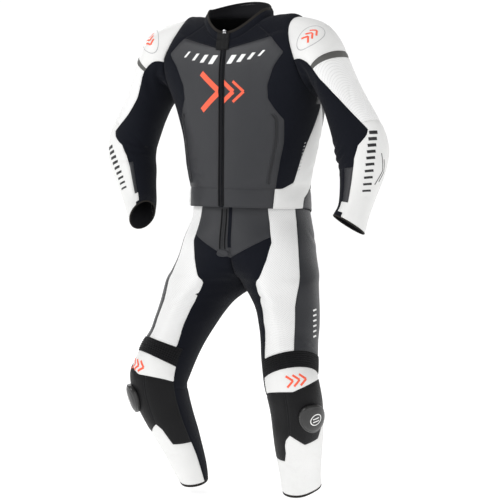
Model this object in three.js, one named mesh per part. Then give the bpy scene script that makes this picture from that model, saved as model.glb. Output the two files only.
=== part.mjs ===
// A two-piece motorcycle race suit: a leather and stretch jacket over matching
// trousers, filled out as if worn, standing on nothing and open at every end.
// Millimetres, +Z up, the front faces -Y and +X is the wearer's left.
// The origin is the middle of the neck opening, where the wearer holds the suit up.

import * as THREE from 'three';

// Driving dimensions
const WALL = 2.2;              // leather or stretch cloth
const COLLAR_WALL = 3.0;       // folded collar stand
const SEAM_GAP = 0.32;         // between two neighbouring pieces
const LIFT = 0.5;              // what lies on a panel clears it by this much
const SIDES = ['left', 'right'];

// Rings of the torso, from the hem up to the rim of the collar. Each row gives
// the front, side and back points of one ring, and how boxy the ring is (1 is
// an ellipse, less is boxier).
const TORSO_ROWS = named(['name', 'yFront', 'zFront', 'xSide', 'ySide', 'zSide', 'yBack', 'zBack', 'box'], [
  ['hem', -90, -468, 166, 60, -474, 220, -510, 1],
  ['waist', -90, -419, 162, 62, -421, 215, -444, 1],
  ['w2', -90, -395, 167, 60, -395, 210, -400, 1],
  ['w3', -89, -350, 177, 62, -350, 213, -354, 1],
  ['w4', -88, -305, 186, 67, -305, 220, -308, 1],
  ['w5', -88, -262, 194, 70, -262, 226, -264, 1],
  ['armpit', -87, -218, 203, 68, -196, 228, -218, 0.97],
  ['a1', -87, -176, 206, 62, -160, 226, -172, 0.92],
  ['a2', -87, -138, 204, 54, -105, 216, -122, 0.85],
  ['a3', -85, -103, 196, 42, -45, 194, -72, 0.8],
  ['shoulder', -80, -76, 172, 24, 24, 156, -20, 0.8],
  ['slope', -76, -56, 133, 12, 30, 114, 10, 0.88],
  ['neck', -72, -36, 96, 5, 27, 80, 32, 1],
  ['stand', -70, -26, 91, 4, 37, 78, 52, 1],
  ['binding', -68, -19, 87, 3, 43, 76, 66, 1],
  ['rim', -66, -12, 84, 3, 50, 74, 72, 1],
]);
const TORSO = rowNumbers(TORSO_ROWS);
const HALF_COLUMNS = [2, 14, 26, 38, 50, 66, 82, 98, 114, 130, 142, 154, 166, 178];
const HOLE = { first: 4, last: 9, low: TORSO.armpit, high: TORSO.shoulder };
const STRIP_HALF = 6;          // half the width of the strip at the middle of the front
const HOLE_REACH = 2;          // how far the armhole pulls at the grid round it, in hole sizes

// Rings of a sleeve below the armhole: the outermost and innermost points, the
// middle's depth, the ring's lean, its half depths, and its bulge to the outer back.
const SLEEVE_ROWS = named(['name', 'xOut', 'zOut', 'xIn', 'zIn', 'y', 'lean', 'front', 'back', 'diag'], [
  ['cap', 216, 15, 216, -160, 38, 0, 106, 94, -0.04],
  ['s2', 250, -3, 223.8, -163, 34, 0, 103, 84, -0.1],
  ['s3', 279, -36, 232, -176, 31, 0, 97, 75, -0.1],
  ['s4', 304, -84, 242.2, -196, 28, 0, 87, 71, -0.09],
  ['s5', 331, -142, 255.4, -222, 25, 2, 73, 69, -0.04],
  ['s6', 371, -208, 273.2, -272, 22, 4, 64, 69, 0.01],
  ['s7', 404, -262, 284.2, -316, 21, 8, 61, 66, 0.03],
  ['elbow', 419, -306, 289.8, -338, 17, 14, 60, 66, 0.05],
  ['s9', 424, -350, 304, -363, 4, 20, 56, 60, 0],
  ['s10', 422, -393, 317.2, -395, -14, 24, 50, 52, -0.03],
  ['s11', 417, -436, 328.4, -428, -34, 26, 44, 46, -0.05],
  ['s12', 414, -479, 335, -461, -55, 26, 39, 41, -0.08],
  ['cuff', 414, -516, 334, -485, -76, 26, 37, 38, 0],
]);
const SLEEVE = rowNumbers(SLEEVE_ROWS, 1);
// The right forearm swings inwards about the elbow, the left one hangs straight.
const ELBOW = { x: 354, z: -318 };
const FOREARM_SWING = { left: 3, right: 34 };
const FOREARM_REACH = { left: 0, right: 20 };

// Rings of a trouser leg, in the trousers' own frame: middle, half width, half
// depth, how much higher the front and the outer side are, and the bulge outer-back.
const LEG_ROWS = named(['name', 'x', 'y', 'z', 'wide', 'deep', 'rise', 'diag', 'tilt', 'rear', 'inset'], [
  ['top', 0, 0, -428, 150, 134, 0, 0, 0, 134, 0],
  ['l1', 0, 0, -468, 155, 139, 0, 0, 0, 139, 0],
  ['l2', 6, 0, -510, 156, 143, 0, 0, 0, 143, 0],
  ['l3', 27, -19, -560, 150, 132, 0, 0, 0, 150, 0],
  ['l4', 51, -34, -606, 137, 118, 0, 0, 0, 146, 15],
  ['l5', 76, -52, -647, 126, 104, 0, 0, 0, 140, 45],
  ['crotch', 98, -73, -674, 112, 88, 4, 0, 0, 128, 60],
  ['l7', 131, -99, -730, 88, 82, 10, 0.07, 0, 100, 55],
  ['l8', 149, -114, -777, 77, 85, 16, 0.08, 4, 85, 35],
  ['l9', 160, -130, -815, 70, 80, 20, 0.06, 9, 80, 15],
  ['ribTop', 172, -152, -855, 67, 76, 26, 0.05, 20, 76, 0],
  ['ribEnd', 183, -174, -897, 66, 71, 30, 0.02, 22, 71, 0],
  ['knee', 191, -182, -925, 70, 70, 16, -0.05, 14, 72, 0],
  ['l13', 194, -172, -962, 69, 68, 6, -0.05, 6, 84, 0],
  ['l14', 192, -154, -1002, 66, 67, 0, -0.03, 0, 86, 0],
  ['l15', 186, -132, -1044, 62, 67, -4, 0, 0, 84, 0],
  ['l16', 178, -105, -1092, 58, 63, -6, 0.03, 0, 76, 0],
  ['l17', 170, -77, -1140, 53, 57, -6, 0.06, 0, 62, 0],
  ['l18', 164, -52, -1188, 48, 52, -6, 0.09, 0, 52, 0],
  ['legHem', 161, -32, -1226, 44, 47, -15, 0.18, 0, 47, 0],
]);
const LEG = rowNumbers(LEG_ROWS);
const LEG_OUTER_COLUMNS = 12;
const LEG_INNER_COLUMNS = 6;
const LEG_COLUMNS = LEG_OUTER_COLUMNS + LEG_INNER_COLUMNS;
const THIGH_START = -30;       // angle of the first column at the thigh
const CALF_START = -52;        // and at the calf
const CROTCH_DIP = 14;
const PELVIS = { turn: 7, y: 68 };

// Rows of a table as objects, one key for each of its columns.
function named(keys, rows) {
  return rows.map((row) => Object.fromEntries(row.map((value, i) => [keys[i], value])));
}

// The number of each row by its name.
function rowNumbers(rows, offset = 0) {
  return Object.fromEntries(rows.map((row, i) => [row.name, i + offset]));
}

// Small mathematics
const RAD = Math.PI / 180;
const lerp = (a, b, t) => a + (b - a) * t;
const clamp = (x, low, high) => Math.min(high, Math.max(low, x));
const smooth = (x, low, high) => {
  const t = clamp((x - low) / (high - low), 0, 1);
  return t * t * (3 - 2 * t);
};
const power = (x, p) => Math.sign(x) * Math.abs(x) ** p;
const vec = (x, y, z) => new THREE.Vector3(x, y, z);

// A smooth curve through one column of a table, at a fractional row.
function along(rows, key, row) {
  const i = clamp(Math.floor(row), 0, rows.length - 2);
  const t = row - i;
  const b = rows[i][key];
  const c = rows[i + 1][key];
  const a = i > 0 ? rows[i - 1][key] : 2 * b - c;
  const d = i + 2 < rows.length ? rows[i + 2][key] : 2 * c - b;
  return b + 0.5 * t * (c - a + t * (2 * a - 5 * b + 4 * c - d + t * (3 * (b - c) + d - a)));
}

// The torso at an angle (0 front, 90 wearer's left, 180 back) and a row.
function torsoPoint(angle, row) {
  const get = (key) => along(TORSO_ROWS, key, row);
  const box = get('box');
  const side = power(Math.sin(angle * RAD), box);
  const ahead = power(Math.cos(angle * RAD), box);
  const ends = ahead > 0 ? ['yFront', 'zFront'] : ['yBack', 'zBack'];
  const y = lerp(get('ySide'), get(ends[0]), Math.abs(ahead));
  const z = lerp(get('zSide'), get(ends[1]), Math.abs(ahead) ** (ahead > 0 ? 2 : 1.4));
  return vec(get('xSide') * side, y, z);
}

// The armhole of the left sleeve: 0 top, 90 front, 180 armpit, 270 back.
function armhole(angle) {
  const up = Math.cos(angle * RAD);
  const ahead = Math.sin(angle * RAD);
  const reach = ahead > 0 ? 103 : 98;
  const hollow = Math.max(0, up * ahead);
  return vec(
    190 - 20 * up + 6 * ahead * ahead - 22 * hollow,
    45 - 22 * up - reach * ahead + 24 * hollow,
    -80 + 104 * up,
  );
}

// The left sleeve at an angle (0 outer, 90 front, 180 inner) and a row from the armhole.
function sleevePoint(angle, row, swing, reach) {
  if (row <= 0) return armhole(angle);
  const get = (key) => along(SLEEVE_ROWS, key, Math.max(row, 1) - 1);
  const up = Math.cos(angle * RAD);
  const ahead = Math.sin(angle * RAD);
  const half = ahead > 0 ? get('front') : get('back');
  const bulge = 1 - get('diag') * Math.sin(2 * angle * RAD);
  const lean = get('lean') * RAD;
  const out = vec((get('xOut') - get('xIn')) / 2, 0, (get('zOut') - get('zIn')) / 2);
  const point = vec((get('xOut') + get('xIn')) / 2, get('y'), (get('zOut') + get('zIn')) / 2);
  point.addScaledVector(out, up * bulge);
  point.addScaledVector(vec(0, -Math.cos(lean), Math.sin(lean)), half * ahead * bulge);
  if (row < 1) point.lerp(armhole(angle), 1 - row);
  const turn = swing * RAD * smooth(row, SLEEVE.s6, SLEEVE.s10);
  const x = point.x - ELBOW.x;
  const z = point.z - ELBOW.z;
  point.x = ELBOW.x + x * Math.cos(turn) + z * Math.sin(turn);
  point.z = ELBOW.z - x * Math.sin(turn) + z * Math.cos(turn);
  const share = smooth(row, SLEEVE.s6, SLEEVE.cuff) * reach;
  return point.addScaledVector(vec(-Math.sin(turn), 0, -Math.cos(turn)), share);
}

// The left leg at an angle (0 front, 90 outer, 180 back, 270 inner) and a row.
function legPoint(angle, row) {
  const get = (key) => along(LEG_ROWS, key, row);
  const side = Math.sin(angle * RAD);
  const ahead = Math.cos(angle * RAD);
  const bulge = 1 - get('diag') * Math.sin(2 * angle * RAD);
  const x = get('x') + get('wide') * side * bulge;
  const half = ahead > 0 ? get('deep') : get('rear');
  const y = get('y') - half * ahead * bulge + get('inset') * Math.max(0, -side);
  return vec(Math.max(x, 0), y, get('z') + get('rise') * ahead + get('tilt') * side);
}

// One garment as a shell of shared points. A face keeps, for each corner, the
// grid it lies on and its angle and row there, so that seams can be laid on it.
class Shell {
  constructor() {
    this.points = [];
    this.faces = [];
    this.byPlace = new Map();
  }

  point(p) {
    const key = [p.x, p.y, p.z].map((v) => Math.round(v * 50)).join();
    if (!this.byPlace.has(key)) {
      this.byPlace.set(key, this.points.length);
      this.points.push(p);
    }
    return this.byPlace.get(key);
  }

  // Corners are { id, angle, row }, counter-clockwise seen from outside.
  quad(part, side, corners) {
    const [a, b, c, d] = corners;
    for (const three of [[a, b, c], [a, c, d]]) {
      const turned = side === 'right' ? [three[0], three[2], three[1]] : three;
      this.faces.push({ part, side, corners: turned });
    }
  }

  find(p) {
    return this.byPlace.get([p.x, p.y, p.z].map((v) => Math.round(v * 50)).join());
  }

  normals() {
    this.out = this.points.map(() => vec(0, 0, 0));
    for (const { corners } of this.faces) {
      const [a, b, c] = corners.map(({ id }) => this.points[id]);
      const normal = b.clone().sub(a).cross(c.clone().sub(a));
      corners.forEach(({ id }) => this.out[id].add(normal));
    }
    this.out.forEach((n) => n.normalize());
  }
}

// A grid of corners, mirrored for the right side and joined into the shell.
function addGrid(shell, part, side, grid) {
  const mirror = side === 'right' ? -1 : 1;
  const ids = grid.map((line) => line.map((corner) => corner && {
    ...corner,
    id: shell.point(vec(corner.p.x * mirror, corner.p.y, corner.p.z)),
  }));
  for (let j = 0; j + 1 < ids.length; j += 1) {
    for (let i = 0; i + 1 < ids[j].length; i += 1) {
      const corners = [ids[j][i], ids[j][i + 1], ids[j + 1][i + 1], ids[j + 1][i]];
      if (corners.every((corner) => corner)) shell.quad(part, side, corners);
    }
  }
  return ids;
}

// Where a grid point of the torso lies round the armhole: 1 on its edge, more
// outside it, and the angle there that the sleeve's columns carry on.
function roundArmhole(i, j) {
  const s = (i - (HOLE.first + HOLE.last) / 2) / ((HOLE.last - HOLE.first) / 2);
  const t = (j - (HOLE.low + HOLE.high) / 2) / ((HOLE.high - HOLE.low) / 2);
  const far = Math.max(Math.abs(s), Math.abs(t));
  const across = HOLE.last - HOLE.first;
  const down = HOLE.high - HOLE.low;
  const step = 360 / (2 * (across + down));
  const u = (s / far) * across / 2;
  const v = (t / far) * down / 2;
  let steps = -u;
  if (Math.abs(t) < far) steps = s < 0 ? across / 2 + down / 2 - v : -across / 2 - down / 2 + v;
  else if (t < 0) steps = across + down + u;
  return { far, s: s / far, t: t / far, angle: steps * step };
}

// A point of the left half of the torso's grid, eased onto the armhole near it.
function torsoGridPoint(i, j) {
  const plain = torsoPoint(HALF_COLUMNS[i], j);
  const near = roundArmhole(i, j);
  if (near.far > HOLE_REACH) return plain;
  const column = (HOLE.first + HOLE.last) / 2 + near.s * (HOLE.last - HOLE.first) / 2;
  const row = (HOLE.low + HOLE.high) / 2 + near.t * (HOLE.high - HOLE.low) / 2;
  const below = Math.floor(column);
  const angle = lerp(HALF_COLUMNS[below], HALF_COLUMNS[Math.min(below + 1, 13)], column - below);
  const shift = armhole(near.angle).sub(torsoPoint(angle, row));
  return plain.addScaledVector(shift, 1 - smooth(near.far, 1, HOLE_REACH));
}

function torsoGrid() {
  return TORSO_ROWS.map((_, j) => HALF_COLUMNS.map((angle, i) => {
    const inside = i > HOLE.first && i < HOLE.last && j > HOLE.low && j < HOLE.high;
    if (inside) return null;
    const p = torsoGridPoint(i, j);
    if (i === 0 || i === HALF_COLUMNS.length - 1) p.x = STRIP_HALF;
    return { p, angle, row: j };
  }));
}

function sleeveGrid(side) {
  const columns = 2 * (HOLE.last - HOLE.first + HOLE.high - HOLE.low);
  const rows = SLEEVE_ROWS.length + 1;
  return Array.from({ length: rows }, (_, row) => Array.from({ length: columns + 1 }, (__, k) => {
    const angle = (k + 0.5) * 360 / columns;
    return { p: sleevePoint(angle, row, FOREARM_SWING[side], FOREARM_REACH[side]), angle, row };
  }));
}

// The first outer column of a leg's ring: where it meets the middle above the
// crotch, and an even share of the ring further down.
function legStart(row) {
  const split = -Math.asin(clamp(along(LEG_ROWS, 'x', row) / along(LEG_ROWS, 'wide', row), 0, 1)) / RAD;
  const crotch = -Math.asin(LEG_ROWS[LEG.crotch].x / LEG_ROWS[LEG.crotch].wide) / RAD;
  if (row <= LEG.crotch) return split;
  const thigh = lerp(crotch, THIGH_START, smooth(row, LEG.crotch - 1, LEG.ribTop));
  return lerp(thigh, CALF_START, smooth(row, LEG.ribTop, LEG.l13));
}

function legAngle(column, row) {
  const start = legStart(row);
  if (column <= LEG_OUTER_COLUMNS) return lerp(start, 180 - start, column / LEG_OUTER_COLUMNS);
  return lerp(180 - start, 360 + start, (column - LEG_OUTER_COLUMNS) / LEG_INNER_COLUMNS);
}

// Each leg's grid slides a little along it round the knee.
function slid(row, side) {
  return row + KNEE_SLIDE[side] * smooth(row, LEG.l8, LEG.ribTop) * (1 - smooth(row, LEG.ribEnd, LEG.l13));
}

function crotchPoint(column) {
  const t = (column - LEG_OUTER_COLUMNS) / LEG_INNER_COLUMNS;
  const back = legPoint(legAngle(LEG_OUTER_COLUMNS, LEG.crotch), LEG.crotch);
  const front = legPoint(legAngle(0, LEG.crotch), LEG.crotch);
  return vec(0, lerp(back.y, front.y, t), lerp(back.z, front.z, t) - CROTCH_DIP * Math.sin(Math.PI * t));
}

function legGrid(side, firstRow, lastRow, firstColumn, lastColumn) {
  const grid = [];
  for (let row = firstRow; row <= lastRow; row += 1) {
    const line = [];
    for (let column = firstColumn; column <= lastColumn; column += 1) {
      const angle = legAngle(column, row);
      const inner = row === LEG.crotch && column > LEG_OUTER_COLUMNS;
      const p = inner ? crotchPoint(column) : legPoint(angle, slid(row, side));
      if (row <= LEG.crotch && (column === 0 || column === LEG_OUTER_COLUMNS)) p.x = 0;
      line.push({ p, angle, row, column, across: p.x });
    }
    grid.push(line);
  }
  return grid;
}

// Where the trousers stand in the suit: turned a little and set back.
function pelvis(p) {
  return p.clone().applyAxisAngle(vec(0, 0, 1), PELVIS.turn * RAD).add(vec(0, PELVIS.y, 0));
}

// The pattern of the suit. Each table gives a seam's place at a few heights or
// rows, and what lies between two of its rows is read off a straight line.
const CHEST_EDGE = [[-27, 131], [-68, 171], [-104, 146], [-151, 127], [-186, 126], [-213, 140],
  [-240, 156], [-302, 150], [-428, 127], [-510, 124]];
const SIDE_WHITE_FRONT = [[-205, 70], [-223, 65], [-288, 44], [-345, 25], [-405, 15], [-418, -10], [-428, -33]];
const SIDE_WHITE_BACK = [[-200, 74], [-262, 130], [-400, 141], [-418, 120], [-447, 61], [-510, 30]];
const YOKE_EDGE = [[-27, 131], [2, 86], [40, 70]];
const SLEEVE_WHITE_FRONT = [[0, 94], [1, 97], [2, 97], [3, 94], [4, 88], [5, 77], [6, 59], [7, 42], [7.3, 50],
  [7.6, 62], [8, 76], [9, 88], [10, 90], [13, 90]];
const SLEEVE_WHITE_BACK = -92;
const CUFF_TAB = { from: 11.8, to: 12.6, angle: 128, edge: 100 };
const GUSSET = { from: 9.6, to: 11.8, angle: 120 };
const THIGH_WHITE_FRONT = [[0, 37], [2, 37], [3, 34], [4, 22], [5, 6], [6, -11],
  [7, -22], [8, -27], [9, -31], [10, -38]];
const THIGH_WHITE_SIDE = [[0, 70], [2, 68], [4, 62], [5, 57], [6, 52], [7, 43], [10, 33]];
const LENS_END = [[-75, 12.3], [-40, 12.3], [-10, 12.35], [20, 12.4], [67, 11.9], [100, 11.6], [130, 11.1]];
const KNEE_END = [[-75, 16.2], [-16, 16.2], [-6, 15.3], [5, 15], [40, 15.6], [80, 15.4], [100, 14.6],
  [130, 13.6]];
const KNEE_COLUMNS = { from: -1, to: 8 };   // of a leg's columns, which the knee's pieces end on
const CALF_COLUMN = 9.5;       // where the white shin ends at the back

const SLEEVE_TWIST = { left: 0, right: 24 };     // the right sleeve's seams sit further round
const KNEE_SLIDE = { left: 0.1, right: -0.25 };  // and each knee's a little up or down, in rows
const TONGUE_DROP = { left: 0.45, right: 0 };
const STRIPE_HALF = 0.16;      // half the reflective stripe's width, in rows
const HEM_BINDING = 18.84;     // the row where a leg's hem binding starts
const FLY = { to: 3.3, half: 5 };
const EDGE_BIAS = 0.04;        // how far inside its face an edge is looked at
const EDGE_SAMPLES = 8;
const SNAP = 0.09;             // a seam this near a corner goes through the corner

// The value of a seam table at a place between its rows.
function at(table, place) {
  const rising = table[table.length - 1][0] > table[0][0] ? 1 : -1;
  const i = table.findIndex(([key]) => (key - place) * rising > 0);
  if (i <= 0) return table[i === 0 ? 0 : table.length - 1][1];
  const [[a, va], [b, vb]] = [table[i - 1], table[i]];
  return lerp(va, vb, (place - a) / (b - a));
}

function torsoPiece({ angle, row, p }) {
  const x = Math.abs(p.x);
  const half = angle > 180 ? 360 - angle : angle;
  if (half < HALF_COLUMNS[0]) return 'front_zip';
  if (row > TORSO.binding) return 'collar_binding';
  if (row > TORSO.neck) return 'collar';
  const vLine = -61 + 34 * Math.min(x / 131, 1.2);
  const behind = p.y > (p.z > -200 ? 45 : at(SIDE_WHITE_BACK, p.z));
  if (row < TORSO.waist) {
    if (!behind) return x < at(CHEST_EDGE, p.z) && p.y < 0 ? 'front_band' : 'side_white';
    return 'back_band';
  }
  if (behind) return p.z > -200 || p.y > at(SIDE_WHITE_BACK, p.z) ? 'back' : 'side_white';
  if (p.z > vLine && x < at(YOKE_EDGE, p.z)) return 'yoke';
  if (p.y < 30 && x < at(CHEST_EDGE, p.z) && p.z < vLine) return 'chest';
  return p.z < -200 && p.y > at(SIDE_WHITE_FRONT, p.z) ? 'side_white' : 'front_stretch';
}

function sleevePiece({ angle, row }, side) {
  const a = angle > 180 ? angle - 360 : angle;
  const tab = row > CUFF_TAB.from && a > 0 && a < (row < CUFF_TAB.to ? CUFF_TAB.angle : CUFF_TAB.edge);
  const twist = SLEEVE_TWIST[side] * smooth(row, SLEEVE.s3, SLEEVE.s6);
  if (tab || (a > SLEEVE_WHITE_BACK && a < at(SLEEVE_WHITE_FRONT, row) + twist)) {
    if (Math.abs(row - stripeRow(a)) < STRIPE_HALF) return 'stripe';
    if (row < stripeRow(a)) return 'shoulder_white';
    return row < SLEEVE.s6 + 0.6 ? 'sleeve_white' : 'forearm_white';
  }
  const gusset = row > GUSSET.from && row < GUSSET.to && a > 0 && a < GUSSET.angle + twist / 4;
  return gusset ? 'gusset' : 'sleeve_stretch';
}

// The row of the reflective stripe's middle, which climbs towards its ends.
function stripeRow(angle) {
  return 3.8 - 1.15 * (1 - Math.cos(angle * 0.9 * RAD)) + 0.15 * Math.sin(angle * RAD);
}

function legPiece({ angle, row, column, across, p }, side) {
  if (row > HEM_BINDING) return 'hem_binding';
  if (row < FLY.to && across < FLY.half && Math.abs(angle) < 90) return 'fly';
  const a = angle > 250 ? angle - 360 : angle;
  const c = column > 15 ? column - LEG_COLUMNS : column;
  const front = at(THIGH_WHITE_FRONT, row);
  const outer = at(THIGH_WHITE_SIDE, row);
  if (row < LEG.ribTop) {
    if (a > front && a < outer) return 'thigh_white';
    if (a <= front) return p.z > -602 + 57 * across / 107 ? 'front_leather' : 'thigh_stretch';
    if (a > 128) return row < LEG.crotch + 0.5 ? 'seat' : 'thigh_stretch';
    return 'thigh_side';
  }
  if (c > KNEE_COLUMNS.from && c < KNEE_COLUMNS.to) {
    if (row < LEG.ribEnd) return 'knee_ribs';
    if (row < at(LENS_END, a) + Math.min(KNEE_SLIDE[side], 0)) return 'knee_white';
    if (row < at(KNEE_END, a) + (a < -10 ? TONGUE_DROP[side] : 0)) return a < 5 ? 'calf_leather' : 'knee_black';
    return 'shin_white';
  }
  if (row < LEG.knee + 0.5) return 'thigh_stretch';
  return c > 0 && c < CALF_COLUMN ? 'shin_white' : 'calf_stretch';
}

const PIECE_OF = { torso: torsoPiece, sleeve: sleevePiece, leg: legPiece };
const ONE_PIECE = ['front_zip', 'fly', 'collar_binding', 'collar', 'back', 'back_band', 'seat'];

function pieceName(part, side, corner) {
  const piece = PIECE_OF[part](corner, side);
  return ONE_PIECE.includes(piece) ? piece : `${piece}_${side}`;
}

// Corner values part way from one corner to another.
function between(a, b, t) {
  const mid = { p: a.p.clone().lerp(b.p, t) };
  for (const key of ['angle', 'row', 'column', 'across']) mid[key] = lerp(a[key], b[key], t);
  return mid;
}

// Cuts a shell's faces along the seams of the pattern. A seam crosses an edge at
// the same point for both faces on it, so the pieces fit each other exactly.
class Pattern {
  constructor(shell) {
    this.shell = shell;
    this.points = shell.points.map((p, id) => ({ p, n: shell.out[id] }));
    this.cuts = new Map();
    this.pieces = new Map();
    this.faces = shell.faces.map((face) => this.prepare(face));
    this.faces.forEach((face) => this.cutEdges(face));
    this.faces.forEach((face) => this.split(face));
  }

  prepare({ part, side, corners }) {
    const full = corners.map((corner) => ({ ...corner, p: this.shell.points[corner.id] }));
    const middle = between(between(full[0], full[1], 0.5), full[2], 1 / 3);
    const nameAt = (corner, inwards) => pieceName(part, side, between(corner, middle, inwards));
    return { corners: full, middle, nameAt };
  }

  edge(a, b) {
    const key = a.id < b.id ? `${a.id}_${b.id}` : `${b.id}_${a.id}`;
    if (!this.cuts.has(key)) this.cuts.set(key, []);
    return this.cuts.get(key);
  }

  cutEdges({ corners, nameAt }) {
    for (let k = 0; k < 3; k += 1) {
      const [one, two] = [corners[k], corners[(k + 1) % 3]];
      const [a, b] = one.id < two.id ? [one, two] : [two, one];
      const cuts = this.edge(a, b);
      const name = (t) => nameAt(between(a, b, t), EDGE_BIAS);
      for (let s = 0; s < EDGE_SAMPLES; s += 1) {
        let low = s / EDGE_SAMPLES;
        let high = (s + 1) / EDGE_SAMPLES;
        const first = name(low);
        if (first === name(high)) continue;
        for (let n = 0; n < 14; n += 1) {
          const t = (low + high) / 2;
          if (name(t) === first) low = t;
          else high = t;
        }
        const known = cuts.some((cut) => Math.abs(cut.t - low) < SNAP);
        if (low < SNAP || low > 1 - SNAP || known) continue;
        const p = this.points[a.id].p.clone().lerp(this.points[b.id].p, low);
        const n = this.points[a.id].n.clone().lerp(this.points[b.id].n, low).normalize();
        cuts.push({ t: low, id: this.points.push({ p, n }) - 1 });
      }
    }
  }

  split(face) {
    const loop = [];
    face.corners.forEach((one, k) => {
      const two = face.corners[(k + 1) % 3];
      loop.push(one);
      const cuts = this.edge(one, two).map(({ t, id }) => ({ t: one.id < two.id ? t : 1 - t, id }));
      cuts.sort((a, b) => a.t - b.t).forEach(({ t, id }) => loop.push({ ...between(one, two, t), id }));
    });
    const names = loop.map((a, k) => face.nameAt(between(a, loop[(k + 1) % loop.length], 0.5), EDGE_BIAS * 2));
    const turns = names.flatMap((name, k) => (name === names.at(k - 1) ? [] : [k]));
    if (turns.length === 0) {
      this.add(names[0], loop.map(({ id }) => id));
      return;
    }
    const arc = (k) => {
      const from = turns[k % turns.length];
      const to = turns[(k + 1) % turns.length];
      const ids = [];
      for (let i = from; i % loop.length !== to || i === from; i += 1) ids.push(loop[i % loop.length].id);
      return [...ids, loop[to].id];
    };
    // A band that crosses the face stays whole between what lies on its two sides.
    const band = turns.length === 4 ? [0, 1].find((k) => names[turns[k]] === names[turns[k + 2]]) : undefined;
    if (band !== undefined) {
      this.add(names[turns[band]], [...arc(band), ...arc(band + 2)]);
      this.add(names[turns[band + 1]], arc(band + 1));
      this.add(names[turns[(band + 3) % 4]], arc(band + 3));
      return;
    }
    let hub = [];
    if (turns.length > 2) {
      const p = vec(0, 0, 0);
      const n = vec(0, 0, 0);
      turns.forEach((k) => p.addScaledVector(this.points[loop[k].id].p, 1 / turns.length));
      turns.forEach((k) => n.add(this.points[loop[k].id].n));
      hub = [this.points.push({ p, n: n.normalize() }) - 1];
    }
    turns.forEach((from, k) => this.add(names[from], [...arc(k), ...hub]));
  }

  add(name, ids) {
    if (ids.length < 3) return;
    if (!this.pieces.has(name)) this.pieces.set(name, []);
    this.pieces.get(name).push(...this.fan(ids));
  }

  // Triangles of a small polygon, from the corner that leaves the fattest ones.
  fan(ids) {
    let best = null;
    ids.forEach((_, start) => {
      const turned = [...ids.slice(start), ...ids.slice(0, start)];
      const list = turned.slice(2).map((id, k) => [turned[0], turned[k + 1], id]);
      const least = Math.min(...list.map((three) => this.area(three)));
      if (!best || least > best.least) best = { least, list };
    });
    return best.list;
  }

  area([a, b, c]) {
    const [p, q, r] = [a, b, c].map((id) => this.points[id].p);
    return q.clone().sub(p).cross(r.clone().sub(p)).length() / 2;
  }
}

// The open edges of a triangle list, each as [from, to].
function openEdges(triangles) {
  const seen = new Set();
  triangles.forEach(([a, b, c]) => [[a, b], [b, c], [c, a]].forEach(([p, q]) => seen.add(`${p}_${q}`)));
  const edges = [...seen].map((key) => key.split('_').map(Number));
  return edges.filter(([p, q]) => !seen.has(`${q}_${p}`));
}

// The groups of a piece's triangles that share edges, the largest first.
function islandsOf(triangles) {
  const byEdge = new Map();
  triangles.forEach(([a, b, c], t) => [[a, b], [b, c], [c, a]].forEach(([p, q]) => byEdge.set(`${p}_${q}`, t)));
  const left = new Set(triangles.keys());
  const islands = [];
  while (left.size > 0) {
    const group = [left.values().next().value];
    left.delete(group[0]);
    for (const t of group) {
      const [a, b, c] = triangles[t];
      for (const key of [`${b}_${a}`, `${c}_${b}`, `${a}_${c}`]) {
        const other = byEdge.get(key);
        if (left.delete(other)) group.push(other);
      }
    }
    islands.push(group.map((t) => triangles[t]));
  }
  return islands.sort((a, b) => b.length - a.length);
}

// Gives each stray corner of a piece to the neighbour it shares most edges with.
function mergeIslands(pieces) {
  const owner = new Map();
  const claim = (name, [a, b, c]) => [[a, b], [b, c], [c, a]].forEach(([p, q]) => owner.set(`${p}_${q}`, name));
  pieces.forEach((triangles, name) => triangles.forEach((three) => claim(name, three)));
  for (const [name, triangles] of pieces) {
    const [main, ...strays] = islandsOf(triangles);
    pieces.set(name, main);
    for (const stray of strays) {
      const votes = new Map();
      for (const [p, q] of openEdges(stray)) {
        const other = owner.get(`${q}_${p}`);
        if (other && other !== name) votes.set(other, (votes.get(other) ?? 0) + 1);
      }
      const [best] = [...votes].sort((a, b) => b[1] - a[1])[0];
      pieces.get(best).push(...stray);
      stray.forEach((three) => claim(best, three));
    }
  }
}

// Gives each fan of triangles round a point a point of its own, so that a piece
// never touches itself at a corner.
function splitFans(triangles, points) {
  const around = new Map();
  triangles.forEach((three, t) => three.forEach((id) => {
    if (!around.has(id)) around.set(id, []);
    around.get(id).push(t);
  }));
  around.forEach((list, id) => {
    const left = new Set(list);
    let first = true;
    while (left.size > 0) {
      const fan = [left.values().next().value];
      left.delete(fan[0]);
      for (const t of fan) {
        for (const other of [...left]) {
          const shared = triangles[other].filter((v) => v !== id && triangles[t].includes(v));
          if (shared.length > 0) {
            fan.push(other);
            left.delete(other);
          }
        }
      }
      if (!first) {
        const copy = points.push({ ...points[id] }) - 1;
        fan.forEach((t) => { triangles[t] = triangles[t].map((v) => (v === id ? copy : v)); });
      }
      first = false;
    }
  });
}

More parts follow.
